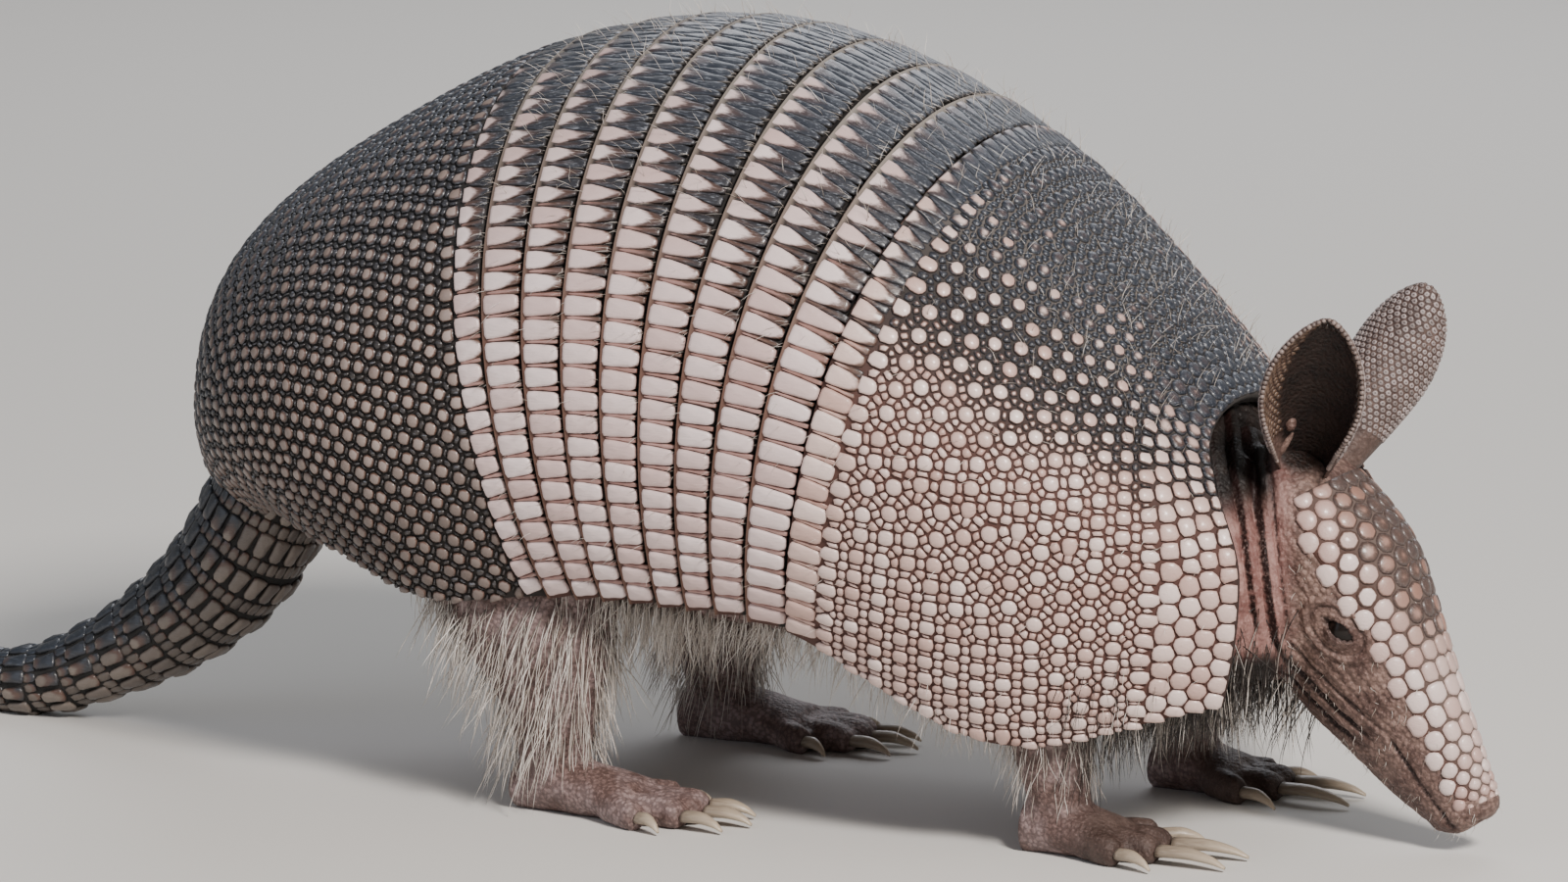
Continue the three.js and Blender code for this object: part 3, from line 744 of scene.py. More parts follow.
def shoulder_paint(seeds, is_large):
    """Both kinds turn slate towards the back, and towards the neck."""
    back = backness(seeds[:, 1]) + 0.3 * ramp(7.2, 8.0, seeds[:, 0])
    if is_large:
        return {"back": LARGE_BACK[0] + LARGE_BACK[1] * back, "tan": 0.0}
    return {"back": SMALL_BACK * back, "tan": SMALL_TAN}


shoulder, shoulder_small_sheet = Sheet(), Sheet()
# The shield's front rim and its inner side lie in shade, which is painted on them, near black.
RIM_SHADE, INNER_SHADE = -0.75, -0.8
rim_painted_shade = np.concatenate([np.zeros(PLATE_ROWS - 1), [RIM_SHADE], np.full(PLATE_ROWS, INNER_SHADE)])
add_plate(shoulder, carapace, np.linspace(0, 1, PLATE_ROWS), -GROOVE_DEPTH, -SHELL_THICKNESS,
          SHOULDER_START + PLATE_GAP, CARAPACE_END, shell_edge, SHIELD_COLUMNS,
          lip=np.tile(rim_painted_shade, SHIELD_COLUMNS))
collar_rows = row_places(carapace, COLLAR_START, SHOULDER_FIELD[1], step=5.3, angle=1.3)
field_rows = row_places(carapace, SHOULDER_FIELD[0], COLLAR_START, step=6.5, angle=1.3)
shoulder_seeds = shield_seeds([*collar_rows, *field_rows], shoulder_pitch, SHOULDER_FIELD, disorder=0.2)
in_field = shoulder_seeds[:, 0] < COLLAR_START
shoulder_small = between(carapace, shoulder_seeds[in_field], reach=9.6, room=1.7)
add_field(shoulder, shoulder_small_sheet, *SHOULDER_FIELD, shoulder_seeds, shoulder_small,
          sizes=(2.2, 1.1), arounds=(12, 8), paint=shoulder_paint, gap=0.28)

# %% The pelvic shield
HIP_FIELD = (0.02, HIP_END - 0.17)
HIP_PITCH = 5.6
SMALL_HIP = {"back": 1.3, "tan": 0.9}


def hip_paint(seeds, is_large):
    """Pale dots on a dark ground, dimmer towards the back, the rump and the lower edge, the last two partly
    with painted shade.
    """
    if not is_large:
        return SMALL_HIP
    s, angle = seeds.T
    rumpward = ramp(3.9, 1.2, s)
    low_down = ramp(1.5, 2.0, np.abs(angle))
    back = 0.46 + 0.27 * np.clip(backness(angle), -0.2, 1.3) + 0.1 * rumpward
    dimness_and_painted_shade = 0.55 * rumpward + 0.8 * low_down + 0.25 * backness(angle)
    return {"back": back - 0.02 * low_down, "tan": np.clip(dimness_and_painted_shade, 0, 0.95)}


hip, hip_small_sheet = Sheet(), Sheet()
add_plate(hip, carapace, np.linspace(0, 1, PLATE_ROWS), -GROOVE_DEPTH, -SHELL_THICKNESS, 0.0,
          HIP_END - PLATE_GAP, shell_edge, SHIELD_COLUMNS)
hip_rows = row_places(carapace, *HIP_FIELD, step=5.5, angle=1.0)
hip_seeds = shield_seeds(hip_rows, steady(HIP_PITCH), HIP_FIELD, disorder=0.25)
hip_small = between(carapace, hip_seeds, reach=7.8, room=2.0)
add_field(hip, hip_small_sheet, *HIP_FIELD, hip_seeds, hip_small,
          sizes=(2.1, 1.0), arounds=(10, 7), paint=hip_paint, gap=0.3)

# %% [markdown]
# ## Rows of one scute
# The bands are rows of long scutes like piano keys, with narrow wedges between them. Here one
# shape does repeat, so Geometry Nodes places it: points carry the turn, size and shape number
# of each scute, the tree puts an instance on each, realizes them and sets the material.

# %% The tree that sets scutes in rows
def scute_row_tree():
    tree = bpy.data.node_groups.new("scute_rows", "GeometryNodeTree")
    for name, way, kind in (("Geometry", "INPUT", "Geometry"), ("Shapes", "INPUT", "Collection"),
                            ("Material", "INPUT", "Material"), ("Unevenness", "INPUT", "Float"),
                            ("Seed", "INPUT", "Int"), ("Geometry", "OUTPUT", "Geometry")):
        tree.interface.new_socket(name, in_out=way, socket_type=f"NodeSocket{kind}")
    given = node(tree, "NodeGroupInput", out=None).outputs
    turn, size = (node(tree, "GeometryNodeInputNamedAttribute", word, data_type="FLOAT_VECTOR")
                  for word in ("turn", "size"))
    shape = node(tree, "GeometryNodeInputNamedAttribute", "shape", data_type="INT")
    shapes = node(tree, "GeometryNodeCollectionInfo", given["Shapes"], True, True)
    chance = node(tree, "FunctionNodeRandomValue", (-1, -1, -1), named={"Seed": given["Seed"]},
                  data_type="FLOAT_VECTOR")
    spread = node(tree, VECTORS, chance, named={"Scale": given["Unevenness"]}, operation="SCALE")
    uneven = node(tree, VECTORS, spread, (1, 1, 1), operation="ADD")
    scale = node(tree, VECTORS, size, uneven, **TIMES)
    placed = node(tree, "GeometryNodeInstanceOnPoints", named={
        "Points": given["Geometry"], "Instance": shapes, "Pick Instance": True,
        "Instance Index": shape, "Rotation": turn, "Scale": scale})
    real = node(tree, "GeometryNodeRealizeInstances", placed)
    finish = node(tree, "GeometryNodeSetMaterial", real, named={"Material": given["Material"]})
    node(tree, "NodeGroupOutput", finish, out=None)
    return tree


SCUTE_ROWS = scute_row_tree()


def modified(mesh, *modifiers):
    """Runs modifiers on a mesh and returns the plain mesh that they make.

    Each modifier is its kind, its settings and the values of a tree's inputs.
    """
    host = bpy.data.objects.new("host", mesh)
    bpy.context.collection.objects.link(host)
    for kind, settings, inputs in modifiers:
        live = host.modifiers.new(kind, kind)
        for name, value in settings.items():
            setattr(live, name, value)
        for socket, value in inputs.items():
            live[socket] = value
    bpy.context.view_layer.update()
    made = bpy.data.meshes.new_from_object(host.evaluated_get(bpy.context.evaluated_depsgraph_get()))
    host.modifiers.clear()
    bpy.data.objects.remove(host)
    return made


def grown(tree, carrier, **values):
    """Runs a tree on a mesh with a value for each input that is named."""
    sockets = {item.name: item.identifier for item in tree.interface.items_tree if item.in_out == "INPUT"}
    inputs = {sockets[name]: value for name, value in values.items()}
    return modified(carrier, ("NODES", {"node_group": tree}, inputs))


# %% Scute shapes
def shape_set(name, sheets):
    """A collection of shapes, in metres and about their own origin, for the tree to pick from."""
    group = bpy.data.collections.new(name)
    for number, sheet in enumerate(sheets):
        mesh = sheet.mesh(f"{name}_{number}")
        mesh.vertices.foreach_set("co", (np.concatenate(sheet.points) * MM).astype(np.float32).ravel())
        group.objects.link(bpy.data.objects.new(f"{name}_{number}", mesh))
    return group


def cleared(*groups):
    """Removes the shapes once every row that picks from them has grown."""
    for group in groups:
        for shape in list(group.objects):
            bpy.data.objects.remove(shape)
        bpy.data.collections.remove(group)


# Each ring of a scute: its inset in mm, its share of the height, or mm if it is sunk, and its rim.
TAPERED_RINGS = ((0.0, -0.7, 0.0), (0.08, 0.3, 0.6), (0.45, 0.78, 0.95), (1.1, 1.0, 1.0))
CROWN_SHARE = 1.12
LEAST_RING = 0.4
BOW = 0.35


def tapered_scute(length, rear, front, height, around, tan=0.0, keel=0.0, core=(1.0, 0.0), sharpness=8):
    """A low dome on a tapering outline: x runs from its free rear end (0) to its front.

    Core falls from the rear end to the front, and by BOW from the middle line to each side.
    """
    taper = math.atan2((rear - front) / 2, length)
    middle = (rear + front) / 4 * math.cos(taper)
    walls = np.array([length / 2, length / 2, middle, middle])
    toward = np.array([0, math.pi, math.pi / 2 - taper, -math.pi / 2 + taper])
    # More rays towards the long ends, where the outline is far from the middle.
    even = full_turn(around)
    turn = np.arctan2(np.sin(even) * (rear + front), np.cos(even) * 2 * length)
    facing = np.clip(np.cos(turn[:, None] - toward), 0, None)
    radius = ((facing / walls) ** sharpness).sum(-1) ** (-1 / sharpness)
    points, rims = [], []
    for inset, share, rim in TAPERED_RINGS:
        reach = np.maximum(radius - inset, radius * LEAST_RING)
        x, y = reach * np.cos(turn), reach * np.sin(turn)
        lift = height * share if share > 0 else share
        points.append(np.stack([x + length / 2, y, np.full(around, lift)], -1))
        rims.append(np.full(around, rim))
    points = np.concatenate(points + [np.array([[length / 2, 0, height * CROWN_SHARE + keel]])])
    rims = np.concatenate(rims + [[1.0]])
    sheet = Sheet()
    share = np.clip(points[:, 0] / length, 0, 1)
    half_width = lerp(rear, front, share) / 2
    own_core = lerp(*core, share) - BOW * np.clip(np.abs(points[:, 1]) / half_width, 0, 1) ** 2
    sheet.add(points, dome_faces(1, len(TAPERED_RINGS), around), rim=rims, core=own_core,
              tan=np.full(len(points), tan), own_x=points[:, 0], own_y=points[:, 1])
    return sheet


def turns_of(ahead, side, above):
    """The Euler turns that stand x, y and z along the three ways given for each point."""
    return np.array([tuple(Matrix(np.stack(ways, 1).tolist()).to_euler())
                     for ways in zip(ahead, side, above)])


def row_points(surface, s, angles, lift=0.0, hand=1.0, dip=0.0):
    """Where the scutes of a row stand, with x along s, z outward, and their turns."""
    s = np.broadcast_to(s, np.shape(angles))
    point, by_s, _, normal = slopes(surface, s, angles)
    level = unit(by_s) * hand
    ahead = level * math.cos(dip) - normal * math.sin(dip)
    point = point + normal * lift
    normal = normal * math.cos(dip) + level * math.sin(dip)
    return point, turns_of(ahead, np.cross(normal, ahead), normal)


def carrier_mesh(points, turns, sizes, shapes, **marks):
    """Loose points with the values that the scute tree reads."""
    mesh = bpy.data.meshes.new("carrier")
    mesh.from_pydata(to_frame(points).tolist(), [], [])
    add_mark(mesh, "turn", turns, "FLOAT_VECTOR", "vector")
    add_mark(mesh, "size", sizes, "FLOAT_VECTOR", "vector")
    add_mark(mesh, "shape", shapes, "INT", number=np.int32)
    for name, values in marks.items():
        add_mark(mesh, name, np.broadcast_to(values, len(points)))
    return mesh


def joined_mesh(name, *meshes):
    """Several meshes as one, with all their marks."""
    parts = []
    for mesh in meshes:
        part = bpy.data.objects.new("part", mesh)
        bpy.context.collection.objects.link(part)
        parts.append(part)
    with bpy.context.temp_override(active_object=parts[0], selected_editable_objects=parts):
        bpy.ops.object.join()
    whole = parts[0].data
    bpy.data.objects.remove(parts[0])
    whole.name = name
    whole.shade_smooth()
    return whole


# %% [markdown]
# ## The eight movable bands
# Each band overlaps the one behind it, like a roof tile. Its keys stand with their broad ends
# at the free rear edge, and wedges fill the room between their narrow front ends. Low on the
# flank the keys are nearly parallel, and along the back they taper to a point.

# %% Keys, wedges and bands
KEY_PITCH = 6.1
KEY_LENGTH = 10.0
KEY_DIP = math.radians(5)
KEY_WIDTH = 5.75
WEDGE_LENGTH = KEY_LENGTH - 1.0
# Wedges start this far in from the free edge, and are this much darker than the keys.
WEDGE_INSET, WEDGE_DARKER = 0.7, 0.12
# Each key's front width, height and how square its corners are, from the flank to the back.
KEY_SHAPES = ((4.3, 1.05, 6), (3.2, 0.8, 7), (1.6, 0.55, 8))
WEDGE_FRONTS = (1.6, 2.7, 4.2)
# The last shape is in use from well below the middle of the back.
SHAPES_PER_BACK = 3.2
BACK_SHARE = 0.583
SIDE_ROOM = 0.012
KEYS = shape_set("key", [
    tapered_scute(KEY_LENGTH, KEY_WIDTH, front, height, around=22, sharpness=sharpness)
    for front, height, sharpness in KEY_SHAPES])
WEDGES = shape_set("wedge", [
    tapered_scute(WEDGE_LENGTH, 0.5, front, 0.45, around=16, tan=0.9, core=(0.5, 0.0))
    for front in WEDGE_FRONTS])


def key_row(rear, front, lift, back_shift=0.06, clear=0.75, under=0.1, seed=1, material=None):
    """The keys and wedges of one row, as plain meshes; clear and under are mm at its two ends."""
    middle = (rear + front) / 2
    limit = float(shell_edge(middle)) - SIDE_ROOM
    _, line, run = measured(carapace, (middle, middle), (-limit, limit), 600)
    count = round(run[-1] / KEY_PITCH)
    angles, pitch = np.interp(evenly(count, run[-1]), run, line), run[-1] / count
    meshes = []
    for shapes, places, start, whole, darker in (
            (KEYS, angles, clear, KEY_LENGTH, 0),
            (WEDGES, (angles[1:] + angles[:-1]) / 2, clear + WEDGE_INSET, WEDGE_LENGTH, WEDGE_DARKER)):
        by_s = slopes(carapace, np.full_like(places, middle), places)[1]
        width = np.linalg.norm(by_s, axis=-1) * (front - rear)
        stand = rear + start / width * (front - rear)
        points, turns = row_points(carapace, stand, places, lift, dip=KEY_DIP)
        back = backness(places)
        sizes = np.stack([(width - start + under) / whole, np.full(len(places), pitch / KEY_PITCH),
                          np.ones(len(places))], -1)
        pick = np.clip(np.round(np.clip(back, 0, 1) * SHAPES_PER_BACK), 0, len(KEY_SHAPES) - 1)
        carrier = carrier_mesh(points, turns, sizes, pick, tone=RANDOM.random(len(places)),
                               back=back * BACK_SHARE + back_shift + darker,
                               flank=flankness(places), map_s=stand, map_angle=places,
                               per_x=(front - rear) / width, per_y=(angles[1] - angles[0]) / pitch)
        meshes.append(grown(SCUTE_ROWS, carrier, Shapes=shapes, Material=material, Unevenness=0.05,
                            Seed=seed))
    return meshes


BAND_SHARES = np.array([0, 0.012, 0.04, 0.15, 0.35, 0.6, 0.8, 0.9, 1.0])
BAND_OUTER = np.array([-0.9, 0.5, 0.8, 0.4, 0.1, -0.35, -0.8, -1.1, -1.6])
# Pale margin at a band's rear edge; -1 is painted shade under the band ahead and inside.
BAND_LIP_AND_PAINTED_SHADE = np.array([0.3, 1, 0.9, 0, 0, 0, 0, -1, -1])
band_lip_and_painted_shade = np.tile(np.concatenate([BAND_LIP_AND_PAINTED_SHADE, -np.ones(len(BAND_LIP_AND_PAINTED_SHADE))]), SHIELD_COLUMNS)
KEY_LIFT = 0.35
# The first band's keys run on under the shoulder shield, so that the gap stays narrow.
UNDER_NEXT, UNDER_SHOULDER = 0.1, 0.7
for number in range(1, BAND_COUNT + 1):
    front = SHOULDER_START - (number - 1) * BAND_SPAN - PLATE_GAP
    rear = SHOULDER_START - number * BAND_SPAN + PLATE_GAP
    base = Sheet()
    add_plate(base, carapace, BAND_SHARES, BAND_OUTER, -SHELL_THICKNESS, rear, front, shell_edge,
              SHIELD_COLUMNS, lip=band_lip_and_painted_shade)
    under = UNDER_SHOULDER if number == 1 else UNDER_NEXT
    rows = key_row(rear, front, KEY_LIFT, under=under, seed=number, material=BAND_MATERIAL)
    band = joined_mesh(f"band_plate_{number}", base.mesh("base"), *rows)
    show(band, f"band_plate_{number}", BAND_MATERIAL, "band_plate", f"band_{number}")

# %% [markdown]
# ## Finishing the shields
# The row of each shield that lies next to the bands has grown as a band's row does, with keys
# and wedges, but it is fused to the shield.

# %% Key rows of the shields
shoulder_keys = key_row(SHOULDER_START + PLATE_GAP, SHOULDER_FIELD[0], lift=0.15, back_shift=0.08,
                        clear=0.2, under=0.3, seed=21, material=SHIELD_MATERIAL)
hip_keys = key_row(HIP_FIELD[1], HIP_END - PLATE_GAP, lift=0.1, back_shift=0.12, clear=0.35, under=0.0,
                   seed=22, material=BAND_MATERIAL)
shoulder_mesh = joined_mesh("shoulder_plates", shoulder.mesh("shoulder_field"), *shoulder_keys)
cleared(KEYS, WEDGES)
show(shoulder_mesh, "shoulder_plates", SHIELD_MATERIAL, "shield_plate", "shoulder_shield")
show(shoulder_small_sheet.mesh("shoulder_small_scutes"), "shoulder_small_scutes", SHIELD_MATERIAL,
     "shield_plate")
show(hip.mesh("hip_plates"), "hip_plates", DIM_AND_SHADED_HIP_MATERIAL, "shield_plate", "hip_shield")
show(joined_mesh("hip_key_row", *hip_keys), "hip_key_row", BAND_MATERIAL, "shield_plate")
show(hip_small_sheet.mesh("hip_small_scutes"), "hip_small_scutes", DIM_AND_SHADED_HIP_MATERIAL, "shield_plate")

# %% [markdown]
# ## The head's shield
# The forehead wears a shield of its own: rounded scutes, largest and whitest along its edge,
# dark and worn on the crown, and pink again towards the nose.

# %% The head's surface and its shield
HEAD_PITCH = math.radians(60)
HEAD_AXIS = np.array([math.cos(HEAD_PITCH), 0, -math.sin(HEAD_PITCH)])
HEAD_UP = np.array([math.sin(HEAD_PITCH), 0, math.cos(HEAD_PITCH)])
HEAD = np.array([
    # along the head, top, bottom, half width
    (-20, 180, 150, 17),
    (-8, 186, 147, 22.5),
    (6, 191, 145, 25),
    (20, 193.3, 144.5, 24),
    (32, 192, 145, 21.5),
    (46, 189.7, 147.5, 16.8),
    (62, 187, 153, 12.5),
    (78, 184.3, 159, 9.6),
    (88, 182.5, 164.5, 7.8),
    (92, 180, 168.5, 5.2),
], float)
HEAD_SHIELD = (1.3, 7.9)
HEAD_SPREAD = (58, 70, 69, 62, 62, 68, 72, 74)
HEAD_SHIELD_RISE = 0.5
HEAD_PLATE_DEPTH = 1.4
# The bony plate ends a little inside the edge of its scutes.
PLATE_SHARE = 0.965


def head_surface(s, angle):
    s, angle = paired(s, angle)
    t, top, bottom, half = np.moveaxis(along(HEAD, s), -1, 0)
    up = (top + bottom) / 2 + (top - bottom) / 2 * np.cos(angle)
    width = half * (1 - 0.3 * (1 - np.cos(angle)) / 2) * np.sin(angle)
    return HEAD_AXIS * t[..., None] + HEAD_UP * up[..., None] + np.array([0, 1, 0]) * width[..., None]


def head_edge(s):
    share = (np.asarray(s, float) - HEAD_SHIELD[0]) / (HEAD_SHIELD[1] - HEAD_SHIELD[0])
    return np.radians(np.interp(share * (len(HEAD_SPREAD) - 1), range(len(HEAD_SPREAD)), HEAD_SPREAD))


def head_back(s, angle):
    """Brown on the crown and forehead, pale along the edge and towards the nose."""
    crown = 1 - (np.abs(angle) / head_edge(s)) ** 2
    return np.clip(crown * 0.9, 0, 1) * (1 - ramp(4.0, 5.4, s)) - 0.02


def head_pitch(s):
    return np.interp(s, (1.3, 3, 6, 7.9), (5.6, 6.2, 5.6, 3.6))


head_plate = Sheet()
add_plate(head_plate, head_surface, np.linspace(0, 1, 30), HEAD_SHIELD_RISE - 0.35, -HEAD_PLATE_DEPTH,
          *HEAD_SHIELD, lambda s: PLATE_SHARE * head_edge(s), 34)
MM_PER_HEAD_ROW = 14.2
ROW_SHARE = 0.85
head_rows = [HEAD_SHIELD[0] + 0.14]
while head_rows[-1] < HEAD_SHIELD[1] - 0.12:
    step = float(head_pitch(head_rows[-1])) * ROW_SHARE / MM_PER_HEAD_ROW
    head_rows.append(head_rows[-1] + step)
head_seeds = sown(head_surface, head_rows, head_pitch, head_edge)
head_seeds = settled(head_surface, head_seeds, head_pitch(head_seeds[:, 0]) * 0.5, *HEAD_SHIELD, head_edge)
near_edge = (np.abs(head_seeds[:, 1]) / head_edge(head_seeds[:, 0])) ** 3
radius, scale = outlines(head_surface, head_seeds, 2.0 + 0.5 * near_edge, *HEAD_SHIELD, head_edge, gap=0.28,
                         around=14, sharpness=9, side_shares=(0.95, 1.2, 1.14))
HEAD_RINGS = ((0.0, -0.6, 0.0, 0.0), (0.12, 0.5, 0.75, 0.3), (0.9, 0.85, 1.0, 0.75))
on_crown = ramp(0.75, 0.45, near_edge ** (1 / 3)) * (1 - ramp(4.4, 6.0, head_seeds[:, 0]))
add_scutes(head_plate, head_surface, head_seeds, radius, scale, HEAD_RINGS, crown=1.0,
           tone=RANDOM.random(len(head_seeds)), back=head_back(*head_seeds.T), tan=0.1 + 0.85 * on_crown)
HEAD_MATERIAL = shell_material(
    "keratin_head_plate", pale=("#c3a39b", "#e9d9d5"), small=("#8b6759", "#a88679"),
    slate=("#493b37", "#4c3933"), groove=("#6d463c", "#4f3a33", "#5d4f49"), scratch_and_sheen_colour="#8a7672", uneven=0.5)
show(head_plate.mesh("head_plates"), "head_plates", HEAD_MATERIAL, "head_plate", "head_shield")

# %% [markdown]
# ## The tail
# The tail is armoured in rings, each with a row of small scutes and a row of long ones whose
# pointed ends lie over the next ring. The core under them swells a little in each ring, but
# stays plain past the middle of the tail.

# %% The tail's surface
TAIL = np.array([
    # x, y, z, radius
    (-146, 0, 80, 17.5),
    (-156, 0, 62, 17.5),
    (-167, 0, 45.5, 16.8),
    (-183, 0, 31, 14.6),
    (-206, 0, 17.5, 11.4),
    (-231, 0, 9, 9.4),
    (-270, 3, 7.2, 7.6),
    (-314, 10, 5.8, 6.2),
    (-358, 22, 4.4, 4.8),
    (-398, 38, 3, 3.4),
    (-430, 55, 1.7, 2.1),
], float)
TAIL_END = len(TAIL) - 1.0
SKIN_UNDER_SCUTES = 0.9


def tail_surface(s, angle):
    s, angle = paired(s, angle)
    row, step = along(TAIL, s), 1e-3
    way = unit(along(TAIL, s + step)[..., :3] - along(TAIL, s - step)[..., :3])
    side = unit(np.cross(way, [0, 0, 1]))
    up = np.cross(side, way)
    around = up * np.cos(angle)[..., None] - side * np.sin(angle)[..., None]
    return row[..., :3] + around * (row[..., 3:] - SKIN_UNDER_SCUTES)


# %% The tail's core, swollen a little under each ring
RING_PITCH = 11.5
RINGED_LENGTH = 190.0
CORE_ROWS, CORE_AROUND = 150, 28
tail_material = shell_material(
    "keratin_tail_ring", pale=("#5f554e", "#82766c"), small=("#453c36", "#574c44"),
    slate=("#1f2733", "#2b2724"), groove=("#221b17", "#1c1a18", "#2b2b2b"), scratch_and_sheen_colour="#4c535e")
tail_s = np.linspace(0, TAIL_END, 800)
tail_run = run_along(along(TAIL, tail_s)[:, :3])
core_s, core_angle = np.meshgrid(np.linspace(0.02, TAIL_END, CORE_ROWS), full_turn(CORE_AROUND),
                                 indexing="ij")
core_run = np.interp(core_s, tail_s, tail_run)
to_ring = (core_run / RING_PITCH) % 1
swell = 0.5 * ramp(0.2, 0.85, to_ring) * (1 - ramp(0.9, 1.0, to_ring))
core_points = lifted(tail_surface, core_s, core_angle, swell * (core_run < RINGED_LENGTH))
tail_core = Sheet()
tail_core.add(*lofted(core_points), flank=0.35, map_layer=1.0,
              map_s=np.append(core_s.ravel(), (core_s[0, 0], core_s[-1, 0])),
              map_angle=np.append(core_angle.ravel() % (2 * math.pi), (0, 0)))

# %% Tail scutes
TAIL_SCUTES = shape_set("tail_scute", [
    tapered_scute(length=7.6, rear=3.4, front=4.8, height=0.85, around=14, keel=0.35),
    tapered_scute(length=4.2, rear=3.2, front=2.8, height=0.55, around=10, tan=0.6)])
# Each row of a ring: its scute's shape and full width, where it stands in the ring, and its lift.
RING_ROWS = ((0, 5.0, 0.95, 0.1 + 0.4), (1, 3.1, 0.32, 0.1))
FIRST_RING, TIP_LEFT_BARE = 4.0, 6
LEAST_AROUND = 5
TAIL_MAP_PER_MM = (0.02, 0.05)
ring_count = math.floor((tail_run[-1] - TIP_LEFT_BARE - FIRST_RING) / RING_PITCH)
rows = []
for ring in range(ring_count):
    for kind, full, offset, lift in RING_ROWS:
        s = float(np.interp(FIRST_RING + ring * RING_PITCH + offset * RING_PITCH, tail_run, tail_s))
        thickness = float(along(TAIL, np.array(s))[3])
        number = max(round(2 * math.pi * thickness / full), LEAST_AROUND)
        angles = (np.arange(number) + (0.5 if ring % 2 else 0)) / number * 2 * math.pi
        stand, turns = row_points(tail_surface, s, angles, lift, hand=-1.0)
        width = 2 * math.pi * (thickness - SKIN_UNDER_SCUTES) / number / full
        sizes = np.tile([1.0, width, min(1.0, 0.4 + thickness / 16)], (number, 1))
        rows.append((stand, turns, sizes, np.full(number, kind), np.full(number, s), angles))
points, turns, sizes, shapes, places, angles = (np.concatenate(column) for column in zip(*rows))
shade = 0.45 + 0.6 * np.cos(angles)
tail_carrier = carrier_mesh(points, turns, sizes, shapes, tone=RANDOM.random(len(shade)), back=shade,
                            flank=1 - np.clip(shade, 0, 1), map_s=places, map_angle=angles % (2 * math.pi),
                            per_x=-TAIL_MAP_PER_MM[0], per_y=TAIL_MAP_PER_MM[1])
tail_scutes = grown(SCUTE_ROWS, tail_carrier, Shapes=TAIL_SCUTES, Material=tail_material,
                    Unevenness=0.06, Seed=4)
print(ring_count, "tail rings")
cleared(TAIL_SCUTES)
tail = joined_mesh("tail_armour", tail_core.mesh("tail_core"), tail_scutes)
show(tail, "tail_armour", tail_material, "tail_plate", *[f"tail_{i}" for i in range(1, 8)])

# %% [markdown]
# ## One skin
# Trunk, neck, head, legs and feet are lofted in turn, and a voxel remesh makes them one
# closed skin without seams. Folds, lids and wrinkles are then moved into it.

# %% The parts of the body under the skin
SKIN_INSET = 4.8
BELLY_TURNS = 56


def torso(s, angle):
    """The carapace, closed underneath by the belly."""
    s, angle = paired(s, angle)
    x, z, lean, half, rise, drop, edge, lead, belly = np.moveaxis(along(CARAPACE, s), -1, 0)
    lean, edge = np.radians(lean), np.radians(edge)
    turn = (angle + math.pi) % (2 * math.pi) - math.pi
    past = np.clip((np.abs(turn) - edge) / (math.pi - edge), 0, 1)
    shell = np.where(np.cos(turn) > 0, rise, drop) * np.cos(turn)
    under = lerp(drop * np.cos(edge), -belly, np.sin(past * math.pi / 2))
    height = np.where(past > 0, under, shell)
    forward = x + np.sin(lean) * height + lead * np.sin(turn) ** 4
    return np.stack([forward, half * np.sin(turn), z + np.cos(lean) * height], -1)


def ellipses(centres, across, upright, wide, tall, around=32):
    """Rings of points round each centre; across and upright are the two directions."""
    turn = full_turn(around)[:, None]
    side, up = np.asarray(across, float) * np.cos(turn), np.asarray(upright, float) * np.sin(turn)
    return centres[:, None] + side * wide[:, None, None] + up * tall[:, None, None]


def ball_rings(centre, size, rows, around):
    """Rings of an ellipsoid from its lowest to its highest."""
    polar, turn = np.meshgrid(np.linspace(0.12, math.pi - 0.12, rows), full_turn(around), indexing="ij")
    ball = np.stack([np.sin(polar) * np.cos(turn), np.sin(polar) * np.sin(turn), -np.cos(polar)], -1)
    return np.asarray(centre) + ball * size


def refined(rows, steps=24):
    return along(rows, np.linspace(0, len(rows) - 1, steps))


HIND_LEG = np.array([
    # x, y, z, half length, half width
    (-60, 46, 86, 28, 14), (-54, 51, 66, 29, 14.5), (-47, 53, 46, 22, 13),
    (-44, 52, 29, 14, 10.5), (-43, 51, 16, 10, 8.5), (-42, 51, 9, 9, 8)], float)
FORE_LEG = np.array([
    (92, 46, 76, 21, 13), (95, 47, 56, 19, 13), (96, 46, 40, 14, 11.5),
    (97, 44, 26, 10.5, 9.5), (98, 43, 16, 8.5, 8.5), (99, 43, 9, 8, 8)], float)
HIND_SOLE = np.array([
    # x, y, z, half width, half height
    (-54, 51, 5.6, 6.5, 6.5), (-43, 51, 7.1, 9, 8), (-29, 52, 6.1, 11, 7), (-17, 53, 4.6, 13, 5.6)], float)
FORE_SOLE = np.array([
    (89, 43, 5.6, 6.5, 6.5), (98, 43, 7.1, 8.5, 8), (108, 43, 5.6, 10.5, 6.5),
    (115, 43, 4.6, 11, 5.4)], float)
# Each digit: turn in degrees, length, half width and length of its claw.
HIND_DIGITS = ((26, 14, 3.2, 8), (11, 23, 3.9, 12), (0, 25, 4.2, 13), (-11, 23, 3.9, 12), (-27, 13, 3.1, 8))
FORE_DIGITS = ((22, 13, 3.2, 11), (6, 20, 4.4, 19), (-8, 20, 4.4, 20), (-26, 14, 3.2, 12))
HIND_ROOT, FORE_ROOT = (-23, 53), (108, 43)
# Along a digit: share of its length, share of its half width, height and half height.
DIGIT_SHARES = np.array([(0, 0.9, 4.2, 4.15), (0.8, 1, 3.8, 4.2), (1, 0.7, 2.8, 2.25)])
KNUCKLE = 0.09
DIGIT_FAN = 0.33
LIMBS = {"hind": (HIND_LEG, HIND_SOLE, HIND_ROOT, HIND_DIGITS),
         "fore": (FORE_LEG, FORE_SOLE, FORE_ROOT, FORE_DIGITS)}


